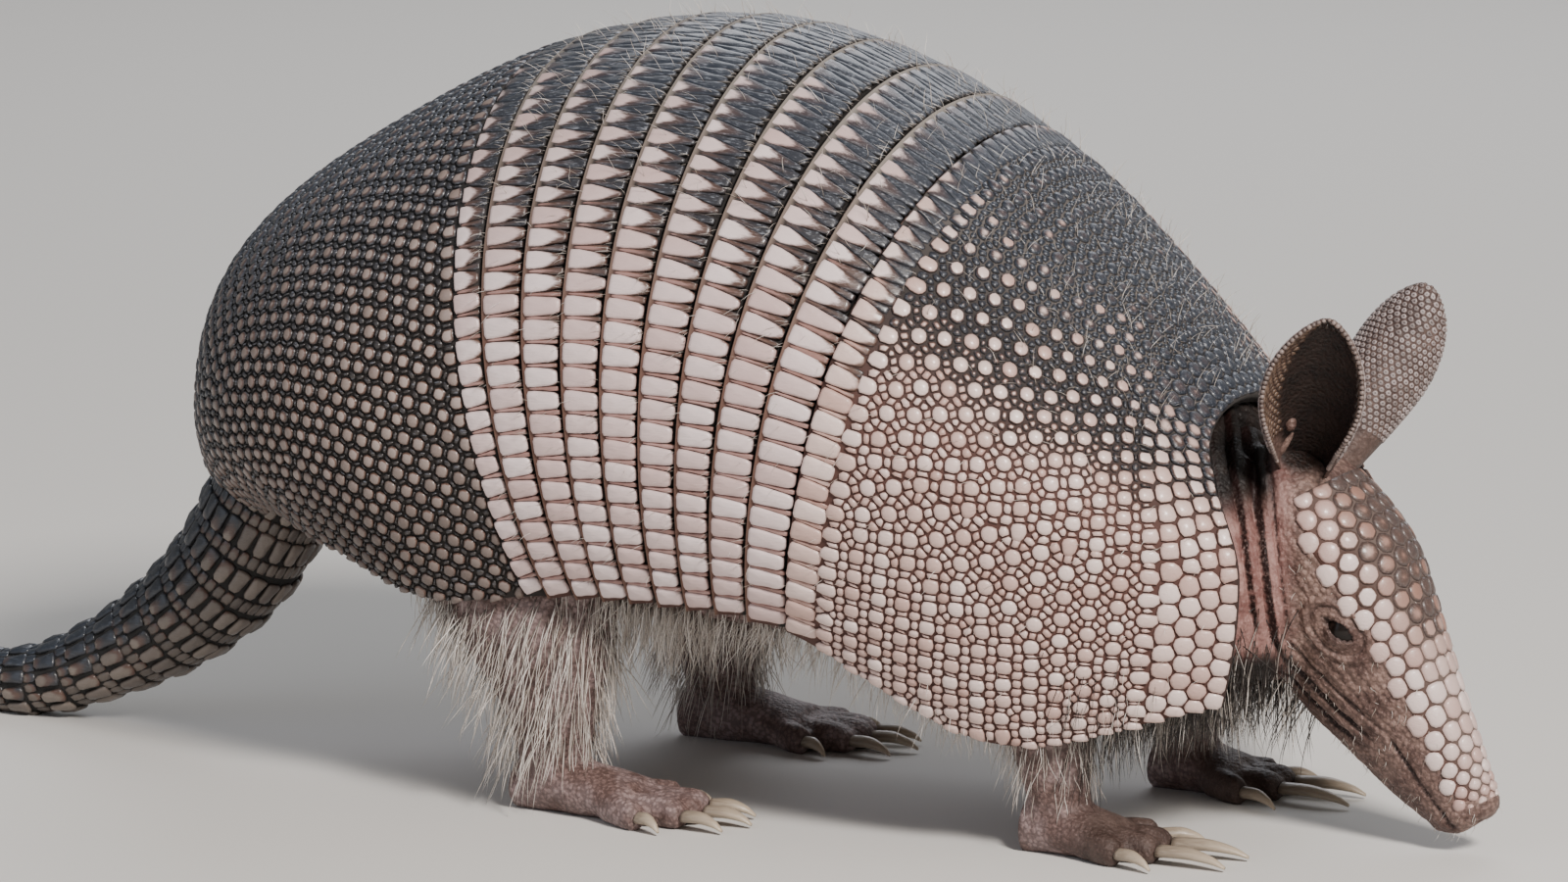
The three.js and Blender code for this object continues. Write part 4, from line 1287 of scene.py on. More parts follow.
def digit_start(root, turn, side):
    way = np.array([math.cos(math.radians(turn)), side * math.sin(math.radians(turn)), 0])
    return np.array([root[0], side * (root[1] + turn * DIGIT_FAN), 0]), way


def add_leg(sheet, leg, sole, root, digits, side):
    to_side = np.array([1, side, 1, 1, 1])
    rows = refined(leg * to_side)
    sheet.add(*lofted(ellipses(rows[:, :3], (1, 0, 0), (0, -1, 0), rows[:, 3], rows[:, 4])))
    rows = refined(sole * to_side, 14)
    sheet.add(*lofted(ellipses(rows[:, :3], (0, 1, 0), (0, 0, 1), rows[:, 3], rows[:, 4])))
    for turn, length, wide, _ in digits:
        start, way = digit_start(root, turn, side)
        across = np.array([-way[1], way[0], 0])
        shares = refined(DIGIT_SHARES, 12)
        centres = start + way * (shares[:, :1] * length)
        centres[:, 2] = shares[:, 2]
        # Knuckles swell the digit a little at its two joints.
        wide_here = shares[:, 1] * wide * (1 + KNUCKLE * np.cos(shares[:, 0] * 4 * math.pi))
        sheet.add(*lofted(ellipses(centres, across, (0, 0, 1), wide_here, shares[:, 3], 20)))


# %% Joining them under one skin
SKIN_VOXEL = 1.25
SOFTENING = {"factor": 0.5, "iterations": 4}
TRUNK_SPAN = (0.35, 7.515)
# The neck starts well inside the trunk, then just under the shield's rim, with more room there.
NECK_START, NECK_COLLAR, COLLAR_INSET = 7.3, 7.7, 6.6
NECK_FRONT, NECK_WIDE, NECK_TALL = np.array([155, 0, 66]), 19, 22
flesh = Sheet()
trunk_s, trunk_turn = np.meshgrid(np.linspace(*TRUNK_SPAN, 44), full_turn(BELLY_TURNS), indexing="ij")
flesh.add(*lofted(lifted(torso, trunk_s, trunk_turn, -SKIN_INSET)))
neck_turn = full_turn(BELLY_TURNS)
neck_back = lifted(torso, NECK_START, neck_turn, -SKIN_INSET)
neck_collar = lifted(torso, NECK_COLLAR, neck_turn, -COLLAR_INSET)
neck_front = NECK_FRONT + np.stack([0 * neck_turn, NECK_WIDE * np.sin(neck_turn),
                                    NECK_TALL * np.cos(neck_turn)], -1)
flesh.add(*lofted([neck_back, neck_collar, lerp(neck_collar, neck_front, 0.5), neck_front]))
flesh.add(*lofted(head_surface(*np.meshgrid(np.linspace(0, 9, 60), full_turn(48), indexing="ij"))))
for side in SIDES:
    for limb in LIMBS.values():
        add_leg(flesh, *limb, side)
ONE_SKIN = {"mode": "VOXEL", "voxel_size": SKIN_VOXEL * MM}
skin_mesh = modified(flesh.mesh("flesh"), ("REMESH", ONE_SKIN, {}), ("SMOOTH", SOFTENING, {}))
print("skin vertices:", len(skin_mesh.vertices))

# %% [markdown]
# ## Folds, lids and wrinkles
# The head needs a finer mesh than the belly, so its faces are cut once more. Every fold is then
# a small rule that moves points along their normals: deep folds that let the neck shorten,
# wrinkles that run down the cheeks, the slit of the mouth, and lids that close on each eye.

# %% A finer head
HEAD_FROM_X = 126.0
HEAD_ABOVE_Z = 20


def cut_finer(mesh):
    """Cuts each face of the head into four."""
    work = bmesh.new()
    work.from_mesh(mesh)
    limit = to_frame([HEAD_FROM_X, 0, 0])[0]
    edges = [e for e in work.edges
             if min(v.co.x for v in e.verts) > limit and max(v.co.z for v in e.verts) > HEAD_ABOVE_Z * MM]
    bmesh.ops.subdivide_edges(work, edges=edges, cuts=1, use_grid_fill=True, smooth=0)
    work.to_mesh(mesh)
    work.free()


def coordinates(mesh):
    """A mesh's points in body millimetres."""
    return gathered(mesh.vertices, "co", 3) / MM - (BODY_CENTRE_X, 0, 0)


def ripple(points, size, seed, waves=7):
    """Smooth noise between -1 and 1 whose bumps are about size mm across."""
    chance = np.random.default_rng(seed)
    ways = unit(chance.normal(size=(waves, 3))) * (2 * math.pi / size / 1.6)
    ways = ways * chance.uniform(0.7, 1.3, (waves, 1))
    return np.sin(points @ ways.T + chance.uniform(0, 2 * math.pi, waves)).sum(-1) / waves * 1.6


cut_finer(skin_mesh)

# %% Where each kind of skin lies
EYE_CENTRE = np.array([165.3, 14.3, 58.8])
EYE_RADIUS = 5.1
LID_THICKNESS = 0.8
EYE_SLIT = unit(np.array([0.78, 0.1, -0.53]))
EYE_HALF_LENGTH, EYE_HALF_HEIGHT = 4.6, 1.5
LID_RING = (7.4, 5.0)
# The skin at the bottom of each ear lies in deep shade: its middle, and where the shade
# starts and is full.
EAR_PIT, EAR_PIT_REACH = np.array([150.5, 9.0, 103.0]), (8.5, 4.5)
# The nostrils: how far along the head, above its axis and to each side, and their half width.
NOSTRIL, NOSTRIL_HALF_WIDTH = (91.5, 176.5, 2.5), 1.5
# The mouth's slit: how far below the snout's middle, its rise towards the nose and half width.
MOUTH_BELOW, MOUTH_RISE, MOUTH_HALF_WIDTH = 3.2, 0.05, 0.7
# Folds of the neck stand across this way, which runs forward and in towards the middle.
NECK_WAY = np.array([0.9063, -0.4226])
# Each deep crease of the neck: its place across, half width, depth and lowest height.
NECK_CREASES = ((119.1, 0.75, 3.0, 62), (123.6, 0.95, 3.4, 54), (114.6, 0.5, 1.2, 70), (127.6, 0.5, 1.3, 58))
# Each long crease of the cheek: its height above the jaw's edge, half width and depth.
JAW_CREASES = ((6.0, 0.8, 1.9), (10.6, 0.7, 1.7), (15.0, 0.5, 0.9))


def fold(phase):
    """A rounded ridge and a narrow crease once in each turn of the phase."""
    return 1 - 2 * np.abs(np.cos(phase / 2)) ** 5


def bell(value, middle, half_width):
    return np.exp(-(((value - middle) / half_width) ** 2))


def almonds(points):
    """How far each point is from an eye: 1 on the edge of its opening, and 1 on its ring of lids."""
    least, ring = np.full(len(points), 99.0), np.full(len(points), 99.0)
    for side in SIDES:
        local = points - EYE_CENTRE * (1, side, 1)
        slit = EYE_SLIT * (1, side, 1)
        out = unit(np.array([0.12, side * 0.97, 0.1]))
        above = unit(np.cross(slit, out) * -side)
        x, y = local @ slit, local @ above
        height = EYE_HALF_HEIGHT * np.clip(1 - (x / (EYE_HALF_LENGTH * 1.5)) ** 2, 0.2, 1)
        close = (local @ out > -9) & (np.hypot(x, y) < 20)
        least = np.where(close, np.minimum(least, np.hypot(x / EYE_HALF_LENGTH, y / height)), least)
        ring = np.where(close, np.minimum(ring, np.hypot(x / LID_RING[0], (y - 0.7) / LID_RING[1])), ring)
    return least, ring


def regions(points):
    """Shares of each kind of skin, and how deep in a crease each point lies."""
    x, y, z = points.T
    head_t, head_u = points @ HEAD_AXIS, points @ HEAD_UP
    level = x * NECK_WAY[0] + np.abs(y) * NECK_WAY[1]
    # The creases lean forward as they run down, and more so under the throat.
    across = level + 0.13 * (z - 75) - 0.3 * np.clip(56 - z, 0, 30)
    across = across + 0.9 * ripple(points * (1, 1, 0.5), 16, 3)
    neck = ramp(104, 113, level) * (1 - ramp(126, 133, level)) * ramp(118, 128, x)
    face = ramp(125, 132, level) * ramp(120, 140, x)
    crease = sum(depth * bell(across, place, half_width) * ramp(lowest - 6, lowest + 4, z)
                 for place, half_width, depth, lowest in NECK_CREASES)
    crease = crease * ramp(104, 113, level) * (1 - ramp(130, 134, level))
    neck_fold = fold((across + 0.4 * ripple(points, 7, 21)) / 1.9 * 2 * math.pi)
    # Wrinkles over the cheek, and the long creases that follow the jaw's edge.
    cheek = face * (1 - ramp(68, 84, head_t)) * ramp(7, 13, np.abs(y))
    cheek = cheek * (1 - ramp(176, 184, head_u))
    top_and_bottom = along(HEAD, np.interp(head_t, HEAD[:, 0], range(len(HEAD))))[:, 1:3]
    middle = top_and_bottom.mean(-1)
    wander = 0.9 * ripple(points, 15, 5) + 0.4 * ripple(points, 6, 15)
    above_jaw = head_u - top_and_bottom[:, 1] + wander
    jaw = sum(depth * bell(above_jaw, place, half_width) for place, half_width, depth in JAW_CREASES)
    jaw = jaw * face * ramp(2, 14, head_t) * (1 - ramp(50, 66, head_t))
    cheek_fold = fold((head_u - 0.1 * head_t + 1.1 * wander) * 2 * math.pi / 2.4)
    mouth = bell(head_u - middle + MOUTH_BELOW - MOUTH_RISE * (88 - head_t), 0, MOUTH_HALF_WIDTH)
    mouth = mouth * ramp(58, 66, head_t) * (1 - ramp(90, 91, head_t)) * face
    pits = [HEAD_AXIS * NOSTRIL[0] + HEAD_UP * NOSTRIL[1] + (0, side * NOSTRIL[2], 0) for side in SIDES]
    nostril = np.maximum(*(bell(np.linalg.norm(points - pit, axis=1), 0, NOSTRIL_HALF_WIDTH) for pit in pits))
    almond, ring = almonds(points)
    # Hollow is what lies in deep shade: skin under the shield's rim, the belly's front, the throat
    # and the bottom of each ear.
    leg = (1 - ramp(60, 78, z)) * (1 - ramp(104, 112, x))
    hollow = ramp(84, 95, z) * (1 - ramp(123, 130, level)) * ramp(112, 122, x)
    belly = (1 - ramp(30, 44, z)) * ramp(100, 112, x) * (1 - ramp(140, 150, x))
    lid = ramp(1.15, 0.5, ring)
    # Deep: painted shade in folds, creases, mouth, nostrils and eye openings, and the lids' dark skin.
    deep = np.clip(0.3 * np.maximum(-neck_fold * neck, -cheek_fold * cheek), 0, 1)
    deep = deep * ramp(1.0, 1.3, ring)
    deep = np.maximum.reduce([deep, np.clip(crease / 1.6, 0, 1), np.clip(jaw / 1.2, 0, 1), mouth, nostril,
                              0.42 * lid, 0.6 * bell(ring, 1.03, 0.06), ramp(1.25, 0.9, almond)])
    from_pit = np.linalg.norm(np.stack([x, np.abs(y), z], -1) - EAR_PIT, axis=1)
    throat = ramp(56, 49, z) * ramp(26, 38, z) * ramp(100, 108, x) * (1 - face)
    hollow = np.maximum.reduce([hollow, 0.6 * belly, throat, ramp(*EAR_PIT_REACH, from_pit)])
    return dict(neck=neck, face=face, leg=leg, hollow=hollow, deep=deep, neck_fold=neck_fold, crease=crease,
                cheek=cheek, cheek_fold=cheek_fold, jaw=jaw, mouth=mouth, nostril=nostril, almond=almond,
                ring=ring)


# %% Folds moved into the skin
points = coordinates(skin_mesh)
outward = gathered(skin_mesh.vertices, "normal", 3).astype(float)
where = regions(points)
almond, ring = where["almond"], where["ring"]
shown = 1 - where["hollow"]
move = 0.22 * where["neck"] * where["neck_fold"] * shown - where["crease"]
move += 0.2 * where["cheek"] * where["cheek_fold"] - where["jaw"]
grain = 0.2 * ripple(points, 2.4, 8) + 0.12 * ripple(points, 1.4, 9)
move += grain * np.maximum(where["neck"], where["face"])
move += 0.25 * where["leg"] * ripple(points, 7, 11)
move -= 0.9 * where["mouth"] + 2.2 * where["nostril"]
# The edge of the nose pad swells a little.
move += 0.8 * bell(points @ HEAD_AXIS, 88.5, 2.4) * where["face"]
move = move * ramp(1.0, 1.5, ring) + 0.7 * bell(ring, 1.25, 0.13) - 0.6 * bell(ring, 1.05, 0.07)
move -= 0.4 * bell(ring, 1.5, 0.07)
points = points + outward * move[:, None]
# The lids are laid over each eye ball, and inside their opening the skin turns in behind it.
for side in SIDES:
    from_eye = points - EYE_CENTRE * (1, side, 1)
    reach = np.linalg.norm(from_eye, axis=1)
    over = EYE_RADIUS + LID_THICKNESS * ramp(1.15, 0.6, ring) + 0.25 * bell(almond, 1.25, 0.2)
    laid = np.maximum(reach, over)
    laid = np.where(almond < 1, np.minimum(reach, EYE_RADIUS - 1.3), laid)
    chosen = (reach < EYE_RADIUS + 5) & (ring < 1.1) & (from_eye[:, 1] * side > 0)
    points = np.where(chosen[:, None], points + unit(from_eye) * (laid - reach)[:, None], points)
points[:, 2] = np.maximum(points[:, 2], 0)
skin_mesh.vertices.foreach_set("co", to_frame(points).astype(np.float32).ravel())
skin_mesh.update()

# %% Fewer faces where the skin is plain
SKIN_TRIANGLES = 152000
SKIN_MARKS = ("neck", "face", "leg", "hollow", "deep")
skin_mesh = modified(skin_mesh, ("DECIMATE", {"ratio": SKIN_TRIANGLES / triangle_count(skin_mesh)}, {}))
where = regions(coordinates(skin_mesh))
for word in SKIN_MARKS:
    add_mark(skin_mesh, word, where[word])

# %% [markdown]
# ## The ears
# Each ear is a thin deep cup of gristle, narrow where it joins the head and round at the top.
# Both faces are paved with small hard pebbles, cut to their neighbours as the scutes are.

# %% Ear cups
# Each ear: its root, its tip, the way it faces, how far its tip leans forward and its width.
EAR_SIDES = {
    1: ((151.0, 9.5, 98.0), (165.0, 31.5, 142.0), (0.08, 0.97, 0.1), 4.5, 0.84),
    -1: ((151.0, -5.5, 102.0), (165.0, -31.5, 142.0), (0.32, -0.93, 0.1), 2.2, 0.95)}
EAR_DEPTH = 0.85
EAR_THICKNESS = 1.2
EAR = np.array([
    # half width, wrap in degrees
    (6.5, 120), (9.8, 126), (12.2, 118), (13.3, 100), (12.7, 88), (10.7, 78), (7.6, 68), (4.0, 60),
    (0.1, 55)], float)
EAR_END = len(EAR) - 1.0


def ear_cup(side, lift=0.0, turned=1):
    """One face of an ear as a surface of s, from root to tip, and an angle from -1 to 1."""
    base, tip, facing, forward, breadth = (np.asarray(value) for value in EAR_SIDES[side])
    axis = unit(tip - base)
    facing = unit(facing - axis * (facing @ axis))
    across = np.cross(axis, facing)

    def surface(s, angle):
        s, angle = paired(s, angle)
        width, wrap = np.moveaxis(along(EAR, s), -1, 0)
        width = width * breadth
        # Rows crowd towards the tip, so that the outline closes in a round curve.
        rise = 1 - (1 - s / EAR_END) ** 2
        turn = turned * angle * np.radians(wrap)
        round_on = width * EAR_DEPTH
        reach = across * (np.sin(turn) * (width + lift))[..., None]
        depth = facing * (round_on - np.cos(turn) * (round_on + lift))[..., None]
        lean = np.array([1.0, 0, 0]) * (forward * rise**3)[..., None]
        return base + axis * (rise * np.linalg.norm(tip - base))[..., None] + reach + depth + lean

    return surface


def turned_outward(points, faces):
    """The faces of a closed body, turned over if they point inwards."""
    volume = 0.0
    for group in faces:
        corner = points[group]
        for k in range(1, group.shape[1] - 1):
            volume += (corner[:, 0] * np.cross(corner[:, k], corner[:, k + 1])).sum()
    return faces if volume > 0 else [group[:, ::-1] for group in faces]


def add_ear(sheet, side, rows=60, columns=49):
    s, angle = np.meshgrid(np.linspace(0, EAR_END - 0.02, rows), np.linspace(-1, 1, columns), indexing="ij")
    half = EAR_THICKNESS / 2 * np.minimum(1, np.sqrt(1 - np.abs(angle) ** 14) + 0.2)
    half = half * (0.3 + 0.7 * ramp(EAR_END, EAR_END - 0.6, s))
    cup = ear_cup(side)
    ends_in = (lifted(cup, 4.0, 0.0, 1.0) - lifted(cup, 4.0, 0.0, 0.0)) @ np.asarray(EAR_SIDES[side][2]) > 0
    half = -half if ends_in else half
    loop = np.concatenate([lifted(cup, s, angle, half), lifted(cup, s, angle, -half)[:, ::-1]], 1)
    # Painted shade: the front wall shades the cavity and the rear wall stands in the light; the
    # outer face is darkened partway.
    shade = 1 - 0.8 * ramp(0.35, 0.62, angle * side) * ramp(7.6, 6.4, s)
    shade = np.concatenate([np.full_like(s, 0.6), shade[:, ::-1]], 1)
    ends = np.arange(columns - 1)
    cap = np.stack([ends, ends + 1, 2 * columns - 2 - ends, 2 * columns - 1 - ends], -1)
    far = cap[:, ::-1] + (rows - 1) * 2 * columns
    points = loop.reshape(-1, 3)
    faces = turned_outward(points, [grid_faces(rows, 2 * columns), cap, far])
    sheet.add(points, faces, hollow=shade.ravel(), face=0.6)


ears = Sheet()
for side in SIDES:
    add_ear(ears, side)

# %% The small flap in front of each ear's opening, and the ridge below it
EAR_FLAPS = (
    # place along the ear and round it, half sizes, lean
    ((1.0, 0.24), (1.5, 1.5, 2.1), 0.1),
    ((0.35, 0.42), (1.1, 1.3, 4.2), 0.6))
FLAP_STAND = 0.8
for side in SIDES:
    for (s, angle), size, lean in EAR_FLAPS:
        centre = ear_cup(side)(s, angle * side) + FLAP_STAND * np.array(EAR_SIDES[side][2])
        ball = ball_rings((0, 0, 0), size, 12, 16)
        ball[..., 0] += lean * ball[..., 2]
        flap, faces = lofted(centre + ball)
        ears.add(flap, turned_outward(flap, faces), face=0.8)
skin_mesh = joined_mesh("skin", skin_mesh, ears.mesh("ears"))

# %% Pebbles on both faces of each ear, and a row of them along its rim
PEBBLE_FIELD = (0.9, EAR_END - 0.35)
PEBBLE_PITCH = 1.75
PEBBLE_RINGS = ((0.0, -0.3, 0.0, 0.0), (0.16, 0.24, 0.9, 0.0), (0.5, 0.28, 1.0, 0.55))
RIM_BEAD = np.array([0.7, 0.7, 0.6])
RIM_BEADS_FROM, RIM_BEAD_STEP = 8.0, 1.35
# Inside an ear pebbles stop where the cup runs down into the head.
OPEN_FROM, RIM_FROM, FRONT_FROM = 6.0, 0.66, 0.4


# Pebbles end a little inside the rim, which has its own.
pebble_edge, pebble_pitch = steady(0.97), steady(PEBBLE_PITCH)
pebbles = Sheet()
for side in SIDES:
    for turned, lift in ((1, EAR_THICKNESS / 2), (-1, -EAR_THICKNESS / 2)):
        face_of_ear = ear_cup(side, lift, turned)
        rows = row_places(face_of_ear, *PEBBLE_FIELD, step=PEBBLE_PITCH * 0.88, angle=0.0)
        seeds = sown(face_of_ear, rows, pebble_pitch, pebble_edge)
        sizes = np.full(len(seeds), PEBBLE_PITCH / 2)
        seeds = settled(face_of_ear, seeds, sizes, *PEBBLE_FIELD, pebble_edge, rounds=4)
        radius, scale = outlines(face_of_ear, seeds, sizes, *PEBBLE_FIELD, pebble_edge, gap=0.2, around=7)
        outside = turned > 0
        rear, to_rim = seeds[:, 1] * turned * side, np.abs(seeds[:, 1])
        kept = (to_rim > RIM_FROM) | (seeds[:, 0] > OPEN_FROM) | (rear > FRONT_FROM) | outside
        # Inner pebbles away from the rear wall and the rim get painted shade.
        deep = 0 * rear if outside else ramp(0.5, 0.3, rear) * ramp(1.0, 0.6, to_rim)
        add_scutes(pebbles, face_of_ear, seeds[kept], radius[kept], tuple(part[kept] for part in scale),
                   PEBBLE_RINGS, 0.12 if outside else 0.4, tone=RANDOM.random(kept.sum()), hollow=deep[kept],
                   inside=0.0 if outside else 1.0, map_layer=(1 - side) + (1 - turned) / 2)
    rim_s = np.linspace(0, EAR_END, 400)
    for end in (1, -1):
        rim = ear_cup(side)(rim_s, float(end))
        run = run_along(rim)
        for stand in np.arange(RIM_BEADS_FROM, run[-1], RIM_BEAD_STEP):
            centre = [np.interp(stand, run, rim[:, axis]) for axis in range(3)]
            bead, faces = lofted(ball_rings(centre, RIM_BEAD * RANDOM.uniform(0.85, 1.15), 4, 7))
            away = bead - centre
            pebbles.add(bead, faces, rim=1.0, tone=RANDOM.random(), hollow=0.0, inside=0.5, map_layer=4.0,
                        map_s=(stand + away[:, 2]) / run[-1] * EAR_END,
                        map_angle=(side + end / 2 + 0.2 * away[:, 0]) / 2)
print("ear pebbles:", sum(len(f) > 4 for f in pebbles.faces))

# %% [markdown]
# ## What the skin is made of
# Bare skin, thick and dry: pinkish brown, pinker in the folds of the neck, darker inside the
# ears, where shade is painted. Painted shade also darkens the creases, the skin under the
# shield's rim, the belly's front and the throat.

# %% The skin material
VORONOI = "ShaderNodeTexVoronoi"
PATCH_SIZE, GRAIN, PORE = 8, 1.3, 0.8


def skin_material():
    made, tree, shader = new_material("bare_armadillo_skin", IOR=1.42)
    neck, face, leg, hollow, deep = (
        node(tree, MARK, attribute_name=word, out="Fac") for word in SKIN_MARKS)
    place = node(tree, PLACE, out="Object")
    blotch = node(tree, NOISE, place, named={"Scale": 1 / (PATCH_SIZE * MM), "Detail": 4})
    fine = node(tree, NOISE, place, named={"Scale": 1 / (PORE * MM), "Detail": 4, "Roughness": 0.6})
    patches = node(tree, RANGE, blotch, 0.35, 0.65, **SMOOTH)
    colour = node(tree, MIX, patches, named={6: "#5f4a42", 7: "#806a62"}, **COLOURS)
    # The face, neck and legs have colours of their own; hollow gets painted shade, near black.
    for where, low, high in ((face, "#5a443e", "#90766c"), (neck, "#714c47", "#a17c75"),
                             (leg, "#6b5550", "#968280"), (hollow, "#120d0c", "#221915")):
        patch = node(tree, MIX, patches, named={6: low, 7: high}, **COLOURS)
        colour = node(tree, MIX, where, named={6: colour, 7: patch}, **COLOURS)
    # Small grains of thick skin stand between fine dark lines.
    grains = node(tree, VORONOI, place, named={"Scale": 1 / (GRAIN * MM), "Randomness": 0.9})
    lines = node(tree, RANGE, grains, 0.32, 0.62, **SMOOTH)
    grainy = node(tree, MATH, face, leg, operation="ADD", use_clamp=True)
    grainy = node(tree, MATH, grainy, node(tree, MATH, lines, 0.5, **TIMES), **TIMES)
    # Creases, the mouth, the nostrils and each eye's opening get painted shade, near black, and
    # the lids their own dark skin; ridges are worn pale.
    crease_shade_and_dark_lids = node(tree, RANGE, deep, 0.15, 0.9, **SMOOTH)
    worn = node(tree, MATH, node(tree, RANGE, fine, 0.5, 0.75, **SMOOTH), 0.35, **TIMES)
    open_air = node(tree, MATH, 1.0, hollow, operation="SUBTRACT", use_clamp=True)
    worn = node(tree, MATH, worn, open_air, **TIMES)
    for where, over in ((grainy, "#33211c"), (crease_shade_and_dark_lids, "#210f0d"), (worn, "#c0a29a")):
        colour = node(tree, MIX, where, named={6: colour, 7: over}, **COLOURS)
    tree.links.new(colour, shader.inputs["Base Color"])
    rough = node(tree, MATH, fine, 0.25, 0.42, **TIMES_PLUS)
    tree.links.new(rough, shader.inputs["Roughness"])
    height = node(tree, MATH, node(tree, MATH, grains, -0.8, **TIMES), fine, operation="ADD")
    bump = node(tree, BUMP, named={"Height": height, "Distance": 0.45 * MM, "Strength": 0.8})
    tree.links.new(bump, shader.inputs["Normal"])
    return made


PEBBLE_MARKS = ("tone", "rim", "core", "hollow", "inside")


def pebble_material():
    """Small hard pebbles of the ears, greyish outside and brown inside, over dark skin, with painted shade
    deep in the cavity.
    """
    made, tree, shader = new_material("pebbled_ear_skin", IOR=1.5, Coat_Weight=0.15, Coat_Roughness=0.3)
    tone, rim, core, hollow, inside = (
        node(tree, MARK, attribute_name=word, out="Fac") for word in PEBBLE_MARKS)
    outer = node(tree, MIX, tone, named={6: "#6f6360", 7: "#a09391"}, **COLOURS)
    inner = node(tree, MIX, tone, named={6: "#4a382e", 7: "#705a4b"}, **COLOURS)
    pit = node(tree, MATH, node(tree, RANGE, core, 0.5, 0.85, **SMOOTH), 0.85, **TIMES)
    outer = node(tree, MIX, pit, named={6: outer, 7: "#241b18"}, **COLOURS)
    colour = node(tree, MIX, inside, named={6: outer, 7: inner}, **COLOURS)
    colour = node(tree, MIX, hollow, named={6: colour, 7: "#20130d"}, **COLOURS)
    edge = node(tree, RANGE, rim, 0.1, 0.7, **SMOOTH)
    floor = node(tree, MIX, hollow, named={6: "#4d413c", 7: "#140c08"}, **COLOURS)
    colour = node(tree, MIX, edge, named={6: floor, 7: colour}, **COLOURS)
    tree.links.new(colour, shader.inputs["Base Color"])
    tree.links.new(node(tree, MATH, edge, -0.3, 0.75, **TIMES_PLUS), shader.inputs["Roughness"])
    return made


SKIN_NODES = ["trunk", "neck", "head", "ear_left", "ear_right"]
SKIN_NODES += [f"{end}_{part}_{word}" for end in LIMBS for part in ("leg", "foot") for word in SIDES.values()]
show(skin_mesh, "skin", skin_material(), "skin", *SKIN_NODES)
show(pebbles.mesh("ear_pebbles"), "ear_pebbles", pebble_material(), "skin")

# %% [markdown]
# ## Hair
# An armadillo has no fur, only sparse coarse hair: long and white where it hangs from the legs
# and the belly, dark under the throat, partly as painted shade, and short along each band's
# free edge. One bent strand in a few shapes is set on points by the same tree that set the scutes.

# %% Bent strands
STRAND_LENGTH = 10.0
STRAND_RADIUS = 0.105
STRAND_ROWS = 5
# Each strand's sag, sway and curl in mm.
STRAND_BENDS = ((1.6, 0.5, 0.1), (3.2, -0.8, 0.2), (0.9, 1.4, -0.3), (4.4, 0.3, 0.35), (2.2, -1.8, -0.2))


def strand(sag, sway, curl):
    """A three-sided tapering strand along x that sags towards -z and sways along y."""
    share = np.linspace(0, 1, STRAND_ROWS + 1)[:-1]
    x = STRAND_LENGTH * share
    y = sway * share**2 + curl * np.sin(share * 2 * math.pi)
    z = -sag * share**2
    turn = full_turn(3)
    thick = STRAND_RADIUS * (1 - share**2 * 0.75)
    rings = np.stack([np.repeat(x, 3), np.repeat(y, 3) + np.outer(thick, np.cos(turn)).ravel(),
                      np.repeat(z, 3) + np.outer(thick, np.sin(turn)).ravel()], -1)
    points = np.concatenate([rings, [[STRAND_LENGTH, sway, -sag]]])
    last = len(rings) - 3
    tip = [(last, last + 1, len(rings)), (last + 1, last + 2, len(rings)), (last + 2, last, len(rings))]
    sheet = Sheet()
    sheet.add(points, [grid_faces(STRAND_ROWS, 3)[:, ::-1], tip, [(2, 1, 0)]],
              tip=np.append(np.repeat(share, 3), 1.0), own_x=points[:, 0],
              own_y=np.append(np.tile([0, 0.5, 1], STRAND_ROWS), 0.5))
    return sheet


STRANDS = shape_set("strand", [strand(*bend) for bend in STRAND_BENDS])


def hair_material():
    """Coarse guard hair: dark at its root and bleached towards its tip."""
    made, tree, shader = new_material("coarse_guard_hair", IOR=1.55, Roughness=0.38)
    tip, tone, dark = (node(tree, MARK, attribute_name=word, out="Fac") for word in ("tip", "tone", "dark"))
    light = node(tree, MIX, tone, named={6: "#a89c90", 7: "#efe9e2"}, **COLOURS)
    length = node(tree, RANGE, tip, 0.0, 0.35, **SMOOTH)
    colour = node(tree, MIX, length, named={6: "#6f625a", 7: light}, **COLOURS)
    # The throat's hair is dark: partly its own colour, partly painted shade.
    colour = node(tree, MIX, dark, named={6: colour, 7: "#241d1a"}, **COLOURS)
    tree.links.new(colour, shader.inputs["Base Color"])
    return made


# %% Where hair grows
HAIR_PATCH = 0.003
BODY_MIDDLE_Z = 95.0
LEG_TOP_Z = 60.0
# A hair leaves the skin by at least this much of its way, from a root this deep under it.
LEAST_RISE = 0.12
ROOT_DEPTH = 0.2
skin_mesh.calc_loop_triangles()
skin_triangles = gathered(skin_mesh.loop_triangles, "vertices", 3, np.int32)
skin_points = coordinates(skin_mesh)


def sprouts(count, chosen, seed):
    """Points spread by area over the skin's triangles whose middles pass the choice."""
    chance = np.random.default_rng(seed)
    corner = skin_points[skin_triangles]
    cross = np.cross(corner[:, 1] - corner[:, 0], corner[:, 2] - corner[:, 0])
    weight = np.linalg.norm(cross, axis=1) * chosen(corner.mean(1), unit(cross))
    picked = chance.choice(len(weight), count, p=weight / weight.sum())
    a, b = chance.random((2, count))
    a, b = np.where(a + b > 1, (1 - a, 1 - b), (a, b))
    first, second, third = np.moveaxis(corner[picked], 1, 0)
    return first + (second - first) * a[:, None] + (third - first) * b[:, None], unit(cross)[picked]


